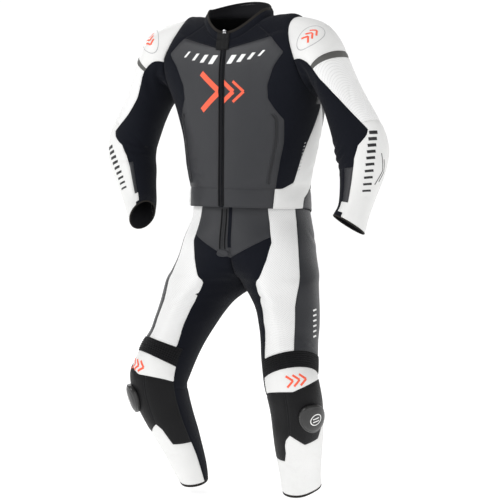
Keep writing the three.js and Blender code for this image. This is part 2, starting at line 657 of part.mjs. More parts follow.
// A closed wall over a piece's triangles: the shell's own points inside, and the
// same points moved out. Its open edges draw back to leave half the seam gap.
function wallGeometry(triangles, points, thickness) {
  splitFans(triangles, points);
  const pull = new Map();
  for (const [a, b] of openEdges(triangles)) {
    const along3 = points[b].p.clone().sub(points[a].p);
    const inward = points[a].n.clone().add(points[b].n).cross(along3).normalize();
    for (const id of [a, b]) pull.set(id, [...(pull.get(id) ?? []), inward]);
  }
  const ids = [...new Set(triangles.flat())];
  const index = new Map(ids.map((id, k) => [id, k]));
  const inner = ids.map((id) => {
    const p = points[id].p.clone();
    const pulls = pull.get(id);
    if (!pulls) return p;
    const sum = pulls.reduce((total, v) => total.add(v), vec(0, 0, 0));
    const mean = sum.clone().normalize();
    const reach = clamp(1 / Math.max(mean.dot(pulls[0]), 0.3), 1, 2.5);
    return p.addScaledVector(mean, SEAM_GAP / 2 * reach);
  });
  const outer = ids.map((id, k) => inner[k].clone().addScaledVector(points[id].n, thickness));
  return closedGeometry(inner, outer, triangles.map((three) => three.map((id) => index.get(id))));
}

// A closed body between two matching sets of points.
function closedGeometry(inner, outer, triangles) {
  const count = inner.length;
  const faces = triangles.flatMap(([a, b, c]) => [[a + count, b + count, c + count], [a, c, b]]);
  for (const [a, b] of openEdges(triangles)) faces.push([b + count, a + count, a], [b + count, a, b]);
  return meshGeometry([...inner, ...outer], faces);
}

// A closed body on a grid of { p, n }: it starts at one height over the grid and
// ends at another, which may be a number or read off the grid's place.
function gridGeometry(grid, from, to, closed = false) {
  const columns = grid[0].length;
  const height = (value, i, j) => (typeof value === 'function' ? value(i, j) : value);
  const layer = (value) => grid.flatMap((line, j) => (
    line.map(({ p, n }, i) => p.clone().addScaledVector(n, height(value, i, j)))));
  const triangles = [];
  for (let j = 0; j + 1 < grid.length; j += 1) {
    for (let i = 0; i + (closed ? 0 : 1) < columns; i += 1) {
      const next = (i + 1) % columns;
      const [a, b, c, d] = [[i, j], [next, j], [next, j + 1], [i, j + 1]].map(([u, v]) => v * columns + u);
      triangles.push([a, b, c], [a, c, d]);
    }
  }
  return closedGeometry(layer(from), layer(to), triangles);
}

function meshGeometry(points, faces) {
  const geometry = new THREE.BufferGeometry();
  const numbers = points.flatMap((p) => [p.x, p.y, p.z]);
  geometry.setAttribute('position', new THREE.Float32BufferAttribute(numbers, 3));
  geometry.setIndex(faces.flat());
  geometry.computeVertexNormals();
  return geometry;
}

// What is fixed on the suit
const RIBS = { count: 8, high: 2.6 };
const SLIDER = {
  angle: 57, row: { left: 13.85, right: 13.45 }, wide: 74, tall: 86, high: 15,
  drop: 0.12, around: 20, clear: 1.1,
  profile: [[1, 4], [0.98, 9], [0.88, 12.5], [0.6, 14.4]],   // reach from the middle, and height there
};
const ZIP_TAB = { across: [-23, -STRIP_HALF, STRIP_HALF, 16], rows: [10.75, 11, 12, 13, 13.65], thick: 1.6 };
const FLY_END = { row: 3.63, half: 15, rows: 0.2, thick: 1.4, cells: 4 };
// The jacket's zip slider is a plate with a bar at its top, and the pull turns on
// that bar. At rest the pull lies back over the rim of the collar.
const ZIP_SLIDER = {
  half: 4.5, back: -71.2, thick: 2.4, bottom: -18.2, top: -9.2,
  window: { half: 3.3, bottom: -13.5, top: -10.6 },
};
const PULL = { half: 2.8, y: -72.4, z: -9.9, bore: 1.65, knuckle: 2.6, thick: 1.4, long: 26, rest: -8 };

// Finishes
const FINISH = {
  white: { color: 0xededeb, roughness: 0.5 },
  grey: { color: 0x3f4044, roughness: 0.45 },
  black: { color: 0x17181d, roughness: 0.85 },
  stripe: { color: 0x5c5c58, roughness: 0.4 },
  hard: { color: 0x1c1c1d, roughness: 0.4 },
  metal: { color: 0xa8a8aa, roughness: 0.3, metalness: 1 },
};
const PIECE_FINISH = {
  white: ['side_white', 'shoulder_white', 'sleeve_white', 'forearm_white', 'thigh_white', 'knee_white',
    'shin_white'],
  grey: ['chest', 'front_band', 'back_band', 'back', 'gusset', 'front_leather', 'thigh_side', 'seat',
    'calf_leather', 'knee_black', 'collar_binding'],
  stripe: ['stripe'],
};

// The stretch bellows over a knee: the shell's own points between the thigh and
// the knee, with ribs raised on the outside and a plain inside.
function kneeRibs(side) {
  const rows = [LEG.ribTop, LEG.ribEnd].map((row) => {
    const line = [];
    for (let column = KNEE_COLUMNS.from; column <= KNEE_COLUMNS.to; column += 1) {
      const place = (column + LEG_COLUMNS) % LEG_COLUMNS;
      const p = legPoint(legAngle(place, row), slid(row, side));
      const id = trousers.find(vec(side === 'right' ? -p.x : p.x, p.y, p.z));
      line.push({ p: trousers.points[id], n: trousers.out[id] });
    }
    return side === 'right' ? line : line.reverse();
  });
  const [top, end] = rows.map((line) => drawnIn(line));
  const steps = RIBS.count * 2;
  const grid = Array.from({ length: steps + 1 }, (_, j) => top.map(({ p, n }, i) => {
    const length = p.distanceTo(end[i].p);
    const t = lerp(SEAM_GAP / 2 / length, 1 - SEAM_GAP / 2 / length, j / steps);
    return { p: p.clone().lerp(end[i].p, t), n: n.clone().lerp(end[i].n, t).normalize() };
  }));
  return gridGeometry(grid, 0, (i, j) => WALL + (j % 2 ? RIBS.high : 0));
}

// A line of { p, n } whose two ends draw back from the seams there.
function drawnIn(line) {
  const last = line.length - 1;
  const pulled = (from, to) => {
    const step = to.p.clone().sub(from.p).setLength(SEAM_GAP / 2);
    return { p: from.p.clone().add(step), n: from.n };
  };
  return line.map((place, i) => {
    if (i === 0) return pulled(place, line[1]);
    return i === last ? pulled(place, line[last - 1]) : place;
  });
}

// A place of the left leg's outside with the way out from it, moved to the side asked for.
function legPlace(angle, row, side) {
  const step = 0.02;
  const p = legPoint(angle, row);
  const across = legPoint(angle + step * 10, row).sub(p);
  const down = legPoint(angle, row + step).sub(p);
  const n = down.cross(across).normalize();
  const mirror = vec(side === 'right' ? -1 : 1, 1, 1);
  const out = n.multiply(mirror).applyAxisAngle(vec(0, 0, 1), PELVIS.turn * RAD);
  return { p: pelvis(p.multiply(mirror)), n: out };
}

// The hard slider on the outside of a knee: a drop, widest at its middle, with
// rounded edges. Its underside follows the leather it stands on.
function kneeSlider(side) {
  const rings = [];
  const row = SLIDER.row[side];
  const middle = legPoint(SLIDER.angle, row);
  const across = legPoint(SLIDER.angle + 1, row).distanceTo(middle);
  const down = legPoint(SLIDER.angle, row + 0.1).distanceTo(middle) * 10;
  for (const [reach] of SLIDER.profile) {
    const ring = [];
    for (let k = 0; k < SLIDER.around; k += 1) {
      const turn = k / SLIDER.around * 2 * Math.PI;
      const drop = 1 + SLIDER.drop * Math.cos(turn) ** 3;
      const u = SLIDER.wide / 2 * Math.sin(turn) * reach;
      const v = SLIDER.tall / 2 * Math.cos(turn) * drop * reach;
      ring.push(legPlace(SLIDER.angle + u / across, row + v / down, side));
    }
    rings.push(side === 'right' ? ring.reverse() : ring);
  }
  const { p, n } = legPlace(SLIDER.angle, row, side);
  const inner = [];
  const outer = [];
  const clear = WALL + SLIDER.clear;
  rings.forEach((ring, r) => ring.forEach((place) => {
    inner.push(place.p.clone().addScaledVector(place.n, clear));
    outer.push(place.p.clone().addScaledVector(place.n, clear + SLIDER.profile[r][1]));
  }));
  inner.push(p.clone().addScaledVector(n, clear));
  outer.push(p.clone().addScaledVector(n, clear + SLIDER.high));
  const count = SLIDER.around;
  const triangles = [];
  for (let k = 0; k < count; k += 1) {
    const next = (k + 1) % count;
    for (let r = 0; r + 1 < rings.length; r += 1) {
      const [a, b, c, d] = [r * count + k, r * count + next, (r + 1) * count + next, (r + 1) * count + k];
      triangles.push([a, b, c], [a, c, d]);
    }
    triangles.push([(rings.length - 1) * count + k, (rings.length - 1) * count + next, rings.length * count]);
  }
  return closedGeometry(inner, outer, triangles);
}

// A place on a garment's front at so far from the middle, on the shell's own facets.
function frontPlace(shell, grid, x, row) {
  const mirror = x < 0 ? -1 : 1;
  const low = Math.floor(row);
  const [lower, upper] = [low, low + 1].map((j) => {
    const [near, far] = grid[j].slice(0, 2).map(({ p }) => {
      const id = shell.find(vec(p.x * mirror, p.y, p.z));
      return { x: p.x, p: shell.points[id], n: shell.out[id] };
    });
    const t = (Math.abs(x) - near.x) / (far.x - near.x);
    return { p: near.p.clone().lerp(far.p, t), n: near.n.clone().lerp(far.n, t) };
  });
  return { p: lower.p.lerp(upper.p, row - low), n: lower.n.lerp(upper.n, row - low).normalize() };
}

// The rounded leather end of the fly.
function flyEnd() {
  const steps = Array.from({ length: FLY_END.cells + 1 }, (_, i) => 2 * i / FLY_END.cells - 1);
  const legs = legGrid('left', 0, LEG.crotch, 0, 1);
  const grid = steps.map((v) => steps.map((u) => frontPlace(
    trousers,
    legs,
    FLY_END.half * u * Math.sqrt(1 - v * v / 2),
    FLY_END.row - FLY_END.rows * v * Math.sqrt(1 - u * u / 2),
  )));
  return gridGeometry(grid, WALL + LIFT, WALL + LIFT + FLY_END.thick);
}

// A flat outline given its depth, and turned to stand in the suit.
function extruded(shape, depth, [right, up, towards], at3) {
  const geometry = new THREE.ExtrudeGeometry(shape, { depth, bevelEnabled: false, curveSegments: 10 });
  return geometry.applyMatrix4(new THREE.Matrix4().makeBasis(right, up, towards).setPosition(at3));
}

function rectangle(path, left, bottom, right, top) {
  path.moveTo(left, bottom);
  path.lineTo(right, bottom);
  path.lineTo(right, top);
  path.lineTo(left, top);
  path.closePath();
  return path;
}

function zipSlider() {
  const { half, back, thick, bottom, top, window: gap } = ZIP_SLIDER;
  const shape = rectangle(new THREE.Shape(), -half, bottom, half, top);
  shape.holes.push(rectangle(new THREE.Path(), -gap.half, gap.bottom, gap.half, gap.top));
  return extruded(shape, thick, [vec(1, 0, 0), vec(0, 0, 1), vec(0, -1, 0)], vec(0, back, 0));
}

function pullTab() {
  const start = Math.asin(PULL.thick / 2 / PULL.knuckle);
  const shape = new THREE.Shape();
  shape.absarc(0, 0, PULL.knuckle, start, 2 * Math.PI - start);
  shape.lineTo(PULL.long, -PULL.thick / 2);
  shape.lineTo(PULL.long, PULL.thick / 2);
  shape.closePath();
  shape.holes.push(new THREE.Path().absarc(0, 0, PULL.bore, 0, 2 * Math.PI, true));
  const rest = PULL.rest * RAD;
  const axes = [vec(0, Math.cos(rest), Math.sin(rest)), vec(0, -Math.sin(rest), Math.cos(rest)), vec(1, 0, 0)];
  return extruded(shape, PULL.half * 2, axes, vec(-PULL.half, PULL.y, PULL.z));
}

function finishOf(name) {
  const base = name.replace(/_(left|right)$/, '');
  const found = Object.keys(PIECE_FINISH).find((key) => PIECE_FINISH[key].includes(base));
  return FINISH[found ?? 'black'];
}

function addMesh(group, name, geometry, finish) {
  const mesh = new THREE.Mesh(geometry, new THREE.MeshStandardMaterial(finish));
  mesh.name = name;
  group.add(mesh);
}

const suit = new THREE.Group();

const jacket = new Shell();
const torsoHalf = torsoGrid();
for (const side of SIDES) {
  addGrid(jacket, 'torso', side, torsoHalf);
  addGrid(jacket, 'sleeve', side, sleeveGrid(side));
}
// The strip at the middle of the front holds the zip, and the one behind it closes the back.
for (const column of [0, HALF_COLUMNS.length - 1]) {
  const strip = torsoHalf.map((line, row) => {
    const { p, angle } = line[column];
    const other = { p: vec(-p.x, p.y, p.z), angle: 360 - angle, row };
    const near = { ...line[column] };
    return column === 0 ? [{ ...other, angle: -angle }, near] : [near, other];
  });
  addGrid(jacket, 'torso', 'left', strip);
}
jacket.normals();

const trousers = new Shell();
for (const side of SIDES) {
  const upper = legGrid(side, 0, LEG.crotch, 0, LEG_OUTER_COLUMNS);
  const lower = legGrid(side, LEG.crotch, LEG_ROWS.length - 1, 0, LEG_OUTER_COLUMNS + LEG_INNER_COLUMNS);
  for (const grid of [upper, lower]) {
    addGrid(trousers, 'leg', side, grid.map((line) => [...line].reverse()));
  }
}
trousers.normals();
trousers.points = trousers.points.map(pelvis);
trousers.out.forEach((n) => n.applyAxisAngle(vec(0, 0, 1), PELVIS.turn * RAD));

for (const shell of [jacket, trousers]) {
  const pattern = new Pattern(shell);
  mergeIslands(pattern.pieces);
  for (const [name, triangles] of pattern.pieces) {
    if (name.startsWith('knee_ribs')) continue;
    const thickness = name.startsWith('collar') ? COLLAR_WALL : WALL;
    addMesh(suit, name, wallGeometry(triangles, pattern.points, thickness), finishOf(name));
  }
}

const tab = ZIP_TAB.rows.map((row) => ZIP_TAB.across.map((x) => frontPlace(jacket, torsoHalf, x, row)));
const overCollar = COLLAR_WALL + LIFT;
addMesh(suit, 'zip_tab', gridGeometry(tab, overCollar, overCollar + ZIP_TAB.thick), FINISH.black);
addMesh(suit, 'zip_slider', zipSlider(), FINISH.metal);
addMesh(suit, 'pull_tab', pullTab(), FINISH.metal);
addMesh(suit, 'fly_end', flyEnd(), FINISH.grey);
for (const side of SIDES) {
  addMesh(suit, `knee_ribs_${side}`, kneeRibs(side), FINISH.black);
  addMesh(suit, `knee_slider_${side}`, kneeSlider(side), FINISH.hard);
}

export default suit;
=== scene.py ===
"""The looks of a motorcycle race suit: a leather and stretch jacket over matching trousers."""

import math

import bpy
import numpy as np
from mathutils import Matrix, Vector, kdtree
from mathutils.bvhtree import BVHTree


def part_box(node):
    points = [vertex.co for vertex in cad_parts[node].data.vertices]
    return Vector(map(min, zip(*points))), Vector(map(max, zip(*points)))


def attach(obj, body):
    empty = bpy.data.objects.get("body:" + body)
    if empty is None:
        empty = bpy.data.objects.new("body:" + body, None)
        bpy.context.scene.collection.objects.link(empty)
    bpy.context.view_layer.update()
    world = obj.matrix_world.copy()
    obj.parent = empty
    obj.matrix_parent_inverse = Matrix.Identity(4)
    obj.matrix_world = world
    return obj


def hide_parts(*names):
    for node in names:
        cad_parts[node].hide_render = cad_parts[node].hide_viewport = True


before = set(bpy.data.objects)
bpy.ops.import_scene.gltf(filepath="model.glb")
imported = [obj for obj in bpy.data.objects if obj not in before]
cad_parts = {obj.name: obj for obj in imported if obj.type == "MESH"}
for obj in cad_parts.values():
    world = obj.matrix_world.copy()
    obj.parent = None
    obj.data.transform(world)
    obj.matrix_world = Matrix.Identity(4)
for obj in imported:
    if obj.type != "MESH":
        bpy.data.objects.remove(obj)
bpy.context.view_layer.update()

# Driving dimensions, in millimetres as in the solids. Meshes are made in metres.
MM = 0.001
WALL = 2.2
COLLAR_WALL = 3.0
COLLAR_HALF = 110
SEAM_GAP = 0.32
STRIP_HALF = 6
SIDES = ("left", "right")

TORSO_COLUMNS = ("yFront", "zFront", "xSide", "ySide", "zSide", "yBack", "zBack", "box")
TORSO_ROWS = (
    ("hem", -90, -468, 166, 60, -474, 220, -510, 1),
    ("waist", -90, -419, 162, 62, -421, 215, -444, 1),
    ("w2", -90, -395, 167, 60, -395, 210, -400, 1),
    ("w3", -89, -350, 177, 62, -350, 213, -354, 1),
    ("w4", -88, -305, 186, 67, -305, 220, -308, 1),
    ("w5", -88, -262, 194, 70, -262, 226, -264, 1),
    ("armpit", -87, -218, 203, 68, -196, 228, -218, 0.97),
    ("a1", -87, -176, 206, 62, -160, 226, -172, 0.92),
    ("a2", -87, -138, 204, 54, -105, 216, -122, 0.85),
    ("a3", -85, -103, 196, 42, -45, 194, -72, 0.8),
    ("shoulder", -80, -76, 172, 24, 24, 156, -20, 0.8),
    ("slope", -76, -56, 133, 12, 30, 114, 10, 0.88),
    ("neck", -72, -36, 96, 5, 27, 80, 32, 1),
    ("stand", -70, -26, 91, 4, 37, 78, 52, 1),
    ("binding", -68, -19, 87, 3, 43, 76, 66, 1),
    ("rim", -66, -12, 84, 3, 50, 74, 72, 1),
)
SLEEVE_COLUMNS = ("xOut", "zOut", "xIn", "zIn", "y", "lean", "front", "back", "diag")
SLEEVE_ROWS = (
    ("cap", 216, 15, 216, -160, 38, 0, 106, 94, -0.04),
    ("s2", 250, -3, 223.8, -163, 34, 0, 103, 84, -0.1),
    ("s3", 279, -36, 232, -176, 31, 0, 97, 75, -0.1),
    ("s4", 304, -84, 242.2, -196, 28, 0, 87, 71, -0.09),
    ("s5", 331, -142, 255.4, -222, 25, 2, 73, 69, -0.04),
    ("s6", 371, -208, 273.2, -272, 22, 4, 64, 69, 0.01),
    ("s7", 404, -262, 284.2, -316, 21, 8, 61, 66, 0.03),
    ("elbow", 419, -306, 289.8, -338, 17, 14, 60, 66, 0.05),
    ("s9", 424, -350, 304, -363, 4, 20, 56, 60, 0),
    ("s10", 422, -393, 317.2, -395, -14, 24, 50, 52, -0.03),
    ("s11", 417, -436, 328.4, -428, -34, 26, 44, 46, -0.05),
    ("s12", 414, -479, 335, -461, -55, 26, 39, 41, -0.08),
    ("cuff", 414, -516, 334, -485, -76, 26, 37, 38, 0),
)
LEG_COLUMN_NAMES = ("x", "y", "z", "wide", "deep", "rise", "diag", "tilt", "rear", "inset")
LEG_ROWS = (
    ("top", 0, 0, -428, 150, 134, 0, 0, 0, 134, 0),
    ("l1", 0, 0, -468, 155, 139, 0, 0, 0, 139, 0),
    ("l2", 6, 0, -510, 156, 143, 0, 0, 0, 143, 0),
    ("l3", 27, -19, -560, 150, 132, 0, 0, 0, 150, 0),
    ("l4", 51, -34, -606, 137, 118, 0, 0, 0, 146, 15),
    ("l5", 76, -52, -647, 126, 104, 0, 0, 0, 140, 45),
    ("crotch", 98, -73, -674, 112, 88, 4, 0, 0, 128, 60),
    ("l7", 131, -99, -730, 88, 82, 10, 0.07, 0, 100, 55),
    ("l8", 149, -114, -777, 77, 85, 16, 0.08, 4, 85, 35),
    ("l9", 160, -130, -815, 70, 80, 20, 0.06, 9, 80, 15),
    ("ribTop", 172, -152, -855, 67, 76, 26, 0.05, 20, 76, 0),
    ("ribEnd", 183, -174, -897, 66, 71, 30, 0.02, 22, 71, 0),
    ("knee", 191, -182, -925, 70, 70, 16, -0.05, 14, 72, 0),
    ("l13", 194, -172, -962, 69, 68, 6, -0.05, 6, 84, 0),
    ("l14", 192, -154, -1002, 66, 67, 0, -0.03, 0, 86, 0),
    ("l15", 186, -132, -1044, 62, 67, -4, 0, 0, 84, 0),
    ("l16", 178, -105, -1092, 58, 63, -6, 0.03, 0, 76, 0),
    ("l17", 170, -77, -1140, 53, 57, -6, 0.06, 0, 62, 0),
    ("l18", 164, -52, -1188, 48, 52, -6, 0.09, 0, 52, 0),
    ("legHem", 161, -32, -1226, 44, 47, -15, 0.18, 0, 47, 0),
)
HALF_COLUMNS = (2, 14, 26, 38, 50, 66, 82, 98, 114, 130, 142, 154, 166, 178)
HOLE = {"first": 4, "last": 9, "low": 6, "high": 10}   # of the torso's columns and rows
HOLE_REACH = 2
ARMHOLE = {"x": 190, "y": 45, "z": -80, "high": 104, "front": 103, "back": 98,
           "lean": 20, "turn": 22, "bow": 6, "hollow_x": 22, "hollow_y": 24}
ELBOW = {"x": 354, "z": -318}
FOREARM_SWING = {"left": 3, "right": 34}
FOREARM_REACH = {"left": 0, "right": 20}
LEG_OUTER = 12
LEG_INNER = 6
THIGH_START = -30
CALF_START = -52
CROTCH_DIP = 14
LEGS_APART = 3         # at least, half of what is between the legs a row below the crotch
PELVIS = {"turn": 7, "y": 68}

# The pattern, as in the solids: each table gives a seam's place at a few heights or rows.
CHEST_EDGE = ((-510, 124), (-428, 127), (-302, 150), (-240, 156), (-213, 140), (-186, 126),
              (-151, 127), (-104, 146), (-68, 171), (-27, 131))
SIDE_WHITE_FRONT = ((-428, -33), (-418, -10), (-405, 15), (-345, 25), (-288, 44), (-223, 65), (-205, 70))
SIDE_WHITE_BACK = ((-510, 30), (-447, 61), (-418, 120), (-400, 141), (-262, 130), (-200, 74))
YOKE_EDGE = ((-27, 131), (2, 86), (40, 70))
SLEEVE_WHITE_FRONT = ((0, 94), (1, 97), (2, 97), (3, 94), (4, 88), (5, 77), (6, 59), (7, 42),
                      (7.3, 50), (7.6, 62), (8, 76), (9, 88), (10, 90), (13, 90))
SLEEVE_WHITE_BACK = -92
CUFF_TAB = {"from": 11.8, "to": 12.6, "angle": 128, "edge": 100}
GUSSET = {"from": 9.6, "to": 11.8, "angle": 120}
THIGH_WHITE_FRONT = ((0, 37), (2, 37), (3, 34), (4, 22), (5, 6), (6, -11), (7, -22), (8, -27), (9, -31),
                     (10, -38))
THIGH_WHITE_SIDE = ((0, 70), (2, 68), (4, 62), (5, 57), (6, 52), (7, 43), (10, 33))
LENS_END = ((-75, 12.3), (-40, 12.3), (-10, 12.35), (20, 12.4), (67, 11.9), (100, 11.6), (130, 11.1))
KNEE_END = ((-75, 16.2), (-16, 16.2), (-6, 15.3), (5, 15), (40, 15.6), (80, 15.4), (100, 14.6),
            (130, 13.6))
KNEE_COLUMNS = (-1, 8)
CALF_COLUMN = 9.5
SLEEVE_TWIST = {"left": 0, "right": 24}
KNEE_SLIDE = {"left": 0.1, "right": -0.25}
TONGUE_DROP = {"left": 0.45, "right": 0}
STRIPE = {"row": 3.8, "bow": 1.15, "turn": 0.9, "lean": 0.15, "half": 0.16}
V_LINE = {"z": -61, "rise": 34, "reach": 131, "limit": 1.2}
CHEST_BACK = 30
YOKE_BACK = 45
SIDE_TOP = -200          # below it the side and back panels meet on slanting seams
FRONT_LEATHER = {"z": -602, "rise": 57, "reach": 107}
BACK_ANGLE = 128         # of the leg, past which its back pieces lie
TONGUE = {"turn": -10, "white": 5}
HEM_BINDING = 18.84
FLY = {"to": 3.3, "half": 5}

# How finely each stretch between two rows is cut
CELLS = 8
TORSO_CELLS = (4, 8, 5, 8, 8, 8, 8, 8, 8, 8, 8, 6, 3, 2, 2)
SLEEVE_CELLS = (5, 7, 8, 9, 10, 12, 11, 10, 9, 9, 9, 9, 8)
LEG_CELLS = (6, 8, 9, 9, 8, 8, 10, 9, 8, 8, 48, 8, 8, 8, 9, 9, 9, 9, 8)
LEG_COLUMN_CELLS = 6
RIBS = {"count": 8, "high": 2.6, "rows": (10, 11)}


def table(rows, names):
    return {name: np.array([row[k + 1] for row in rows], float) for k, name in enumerate(names)}


TORSO = table(TORSO_ROWS, TORSO_COLUMNS)
SLEEVE = table(SLEEVE_ROWS, SLEEVE_COLUMNS)
LEG = table(LEG_ROWS, LEG_COLUMN_NAMES)
TORSO_ROW = {row[0]: k for k, row in enumerate(TORSO_ROWS)}
SLEEVE_ROW = {row[0]: k + 1 for k, row in enumerate(SLEEVE_ROWS)}
LEG_ROW = {row[0]: k for k, row in enumerate(LEG_ROWS)}


# Small mathematics
def lerp(a, b, t):
    return a + (b - a) * t


def smooth(x, low, high):
    t = np.clip((np.asarray(x, float) - low) / (high - low), 0, 1)
    return t * t * (3 - 2 * t)


def power(x, p):
    return np.sign(x) * np.abs(x) ** p


def stack(x, y, z):
    return np.stack(np.broadcast_arrays(x, y, z), -1).astype(float)


def unit(v):
    return v / np.maximum(np.linalg.norm(v, axis=-1, keepdims=True), 1e-12)


def at(seam, place):
    keys, values = zip(*seam)
    return np.interp(place, keys, values)


def along(values, row):
    """A smooth curve through one column of a table, at fractional rows."""
    row = np.asarray(row, float)
    i = np.clip(np.floor(row).astype(int), 0, len(values) - 2)
    t = row - i
    full = np.concatenate([[2 * values[0] - values[1]], values, [2 * values[-1] - values[-2]]])
    a, b, c, d = (full[i + k] for k in range(4))
    return b + 0.5 * t * (c - a + t * (2 * a - 5 * b + 4 * c - d + t * (3 * (b - c) + d - a)))


def fractions(cells):
    """Fractional rows: each stretch between two rows is cut into its number of cells."""
    parts = [k + np.arange(n) / n for k, n in enumerate(cells)]
    return np.concatenate([*parts, [len(cells)]])


# The forms
def torso_point(angle, row):
    a = np.radians(angle)
    box = along(TORSO["box"], row)
    side = power(np.sin(a), box)
    ahead = power(np.cos(a), box)
    front = ahead > 0
    y_end = np.where(front, along(TORSO["yFront"], row), along(TORSO["yBack"], row))
    z_end = np.where(front, along(TORSO["zFront"], row), along(TORSO["zBack"], row))
    y = lerp(along(TORSO["ySide"], row), y_end, np.abs(ahead))
    z = lerp(along(TORSO["zSide"], row), z_end, np.abs(ahead) ** np.where(front, 2, 1.4))
    return stack(along(TORSO["xSide"], row) * side, y, z)


def armhole(angle):
    a = np.radians(angle)
    up = np.cos(a)
    ahead = np.sin(a)
    reach = np.where(ahead > 0, ARMHOLE["front"], ARMHOLE["back"])
    hollow = np.maximum(0, up * ahead)
    return stack(
        ARMHOLE["x"] - ARMHOLE["lean"] * up + ARMHOLE["bow"] * ahead * ahead - ARMHOLE["hollow_x"] * hollow,
        ARMHOLE["y"] - ARMHOLE["turn"] * up - reach * ahead + ARMHOLE["hollow_y"] * hollow,
        ARMHOLE["z"] + ARMHOLE["high"] * up,
    )


def sleeve_point(angle, row, side):
    a = np.radians(angle)
    get = {name: along(values, np.maximum(row, 1) - 1) for name, values in SLEEVE.items()}
    up = np.cos(a)
    ahead = np.sin(a)
    half = np.where(ahead > 0, get["front"], get["back"])
    bulge = 1 - get["diag"] * np.sin(2 * a)
    lean = np.radians(get["lean"])
    out = stack((get["xOut"] - get["xIn"]) / 2, 0, (get["zOut"] - get["zIn"]) / 2)
    p = stack((get["xOut"] + get["xIn"]) / 2, get["y"], (get["zOut"] + get["zIn"]) / 2)
    p = p + out * (up * bulge)[..., None]
    p = p + stack(0, -np.cos(lean), np.sin(lean)) * (half * ahead * bulge)[..., None]
    p = lerp(p, armhole(angle), np.clip(1 - row, 0, 1)[..., None])
    turn = np.radians(FOREARM_SWING[side]) * smooth(row, SLEEVE_ROW["s6"], SLEEVE_ROW["s10"])
    x = p[..., 0] - ELBOW["x"]
    z = p[..., 2] - ELBOW["z"]
    share = smooth(row, SLEEVE_ROW["s6"], SLEEVE_ROW["cuff"]) * FOREARM_REACH[side]
    return stack(
        ELBOW["x"] + x * np.cos(turn) + z * np.sin(turn) - share * np.sin(turn),
        p[..., 1],
        ELBOW["z"] - x * np.sin(turn) + z * np.cos(turn) - share * np.cos(turn),
    )


def leg_point(angle, row):
    a = np.radians(angle)
    get = {name: along(values, row) for name, values in LEG.items()}
    side = np.sin(a)
    ahead = np.cos(a)
    bulge = 1 - get["diag"] * np.sin(2 * a)
    half = np.where(ahead > 0, get["deep"], get["rear"])
    x = get["x"] + get["wide"] * side * bulge
    y = get["y"] - half * ahead * bulge + get["inset"] * np.maximum(0, -side)
    return stack(np.maximum(x, 0), y, get["z"] + get["rise"] * ahead + get["tilt"] * side)


def round_armhole(i, j):
    """How far a place of the torso's grid is from the armhole, and the angle round it."""
    s = (i - (HOLE["first"] + HOLE["last"]) / 2) / ((HOLE["last"] - HOLE["first"]) / 2)
    t = (j - (HOLE["low"] + HOLE["high"]) / 2) / ((HOLE["high"] - HOLE["low"]) / 2)
    far = np.maximum(np.maximum(np.abs(s), np.abs(t)), 1e-9)
    across = HOLE["last"] - HOLE["first"]
    down = HOLE["high"] - HOLE["low"]
    u = s / far * across / 2
    v = t / far * down / 2
    beside = np.where(s < 0, across / 2 + down / 2 - v, -across / 2 - down / 2 + v)
    steps = np.where(np.abs(t) < far, beside, np.where(t < 0, across + down + u, -u))
    return far, s / far, t / far, steps * 360 / (2 * (across + down))


def torso_grid_point(i, j):
    angles = np.array(HALF_COLUMNS, float)
    places = np.arange(len(HALF_COLUMNS))
    plain = torso_point(np.interp(i, places, angles), j)
    far, s, t, turn = round_armhole(i, j)
    column = (HOLE["first"] + HOLE["last"]) / 2 + s * (HOLE["last"] - HOLE["first"]) / 2
    row = (HOLE["low"] + HOLE["high"]) / 2 + t * (HOLE["high"] - HOLE["low"]) / 2
    shift = armhole(turn) - torso_point(np.interp(column, places, angles), row)
    return plain + shift * (1 - smooth(far, 1, HOLE_REACH))[..., None]


def leg_start(row):
    split = -np.degrees(np.arcsin(np.clip(along(LEG["x"], row) / along(LEG["wide"], row), 0, 1)))
    crotch = -math.degrees(math.asin(LEG["x"][LEG_ROW["crotch"]] / LEG["wide"][LEG_ROW["crotch"]]))
    share = smooth(row, LEG_ROW["crotch"] - 1, LEG_ROW["ribTop"])
    first = smooth(LEG_ROW["crotch"], LEG_ROW["crotch"] - 1, LEG_ROW["ribTop"])
    thigh = lerp(crotch, THIGH_START, (share - first) / (1 - first))
    below = lerp(thigh, CALF_START, smooth(row, LEG_ROW["ribTop"], LEG_ROW["l13"]))
    return np.where(row <= LEG_ROW["crotch"], split, below)


def leg_angle(column, row):
    start = leg_start(row)
    outer = lerp(start, 180 - start, column / LEG_OUTER)
    inner = lerp(180 - start, 360 + start, (column - LEG_OUTER) / LEG_INNER)
    return np.where(column <= LEG_OUTER, outer, inner)


def slid(row, side):
    above = smooth(row, LEG_ROW["l8"], LEG_ROW["ribTop"])
    return row + KNEE_SLIDE[side] * above * (1 - smooth(row, LEG_ROW["ribEnd"], LEG_ROW["l13"]))


def crotch_point(column):
    t = np.clip((column - LEG_OUTER) / LEG_INNER, 0, 1)
    row = np.array(float(LEG_ROW["crotch"]))
    back = leg_point(leg_angle(np.array(float(LEG_OUTER)), row), row)
    front = leg_point(leg_angle(np.array(0.0), row), row)
    z = lerp(back[2], front[2], t) - CROTCH_DIP * np.sin(np.pi * t)
    return stack(0, lerp(back[1], front[1], t), z)


def leg_grid_point(column, row, side):
    p = leg_point(leg_angle(column, row), slid(row, side))
    crotch = np.full_like(row, LEG_ROW["crotch"])
    bridge = crotch_point(column) - leg_point(leg_angle(column, crotch), crotch)
    share = np.clip(1 - (row - LEG_ROW["crotch"]), 0, 1) ** 1.5
    inner = (column >= LEG_OUTER) & (row >= LEG_ROW["crotch"])
    p = p + bridge * np.where(inner, share, 0)[..., None]
    middle = (row <= LEG_ROW["crotch"]) & ((column <= 0) | (column >= LEG_OUTER))
    parted = LEGS_APART * np.clip(row - LEG_ROW["crotch"], 0, 1)
    p[..., 0] = np.where(middle, 0, np.maximum(p[..., 0], parted))
    return p


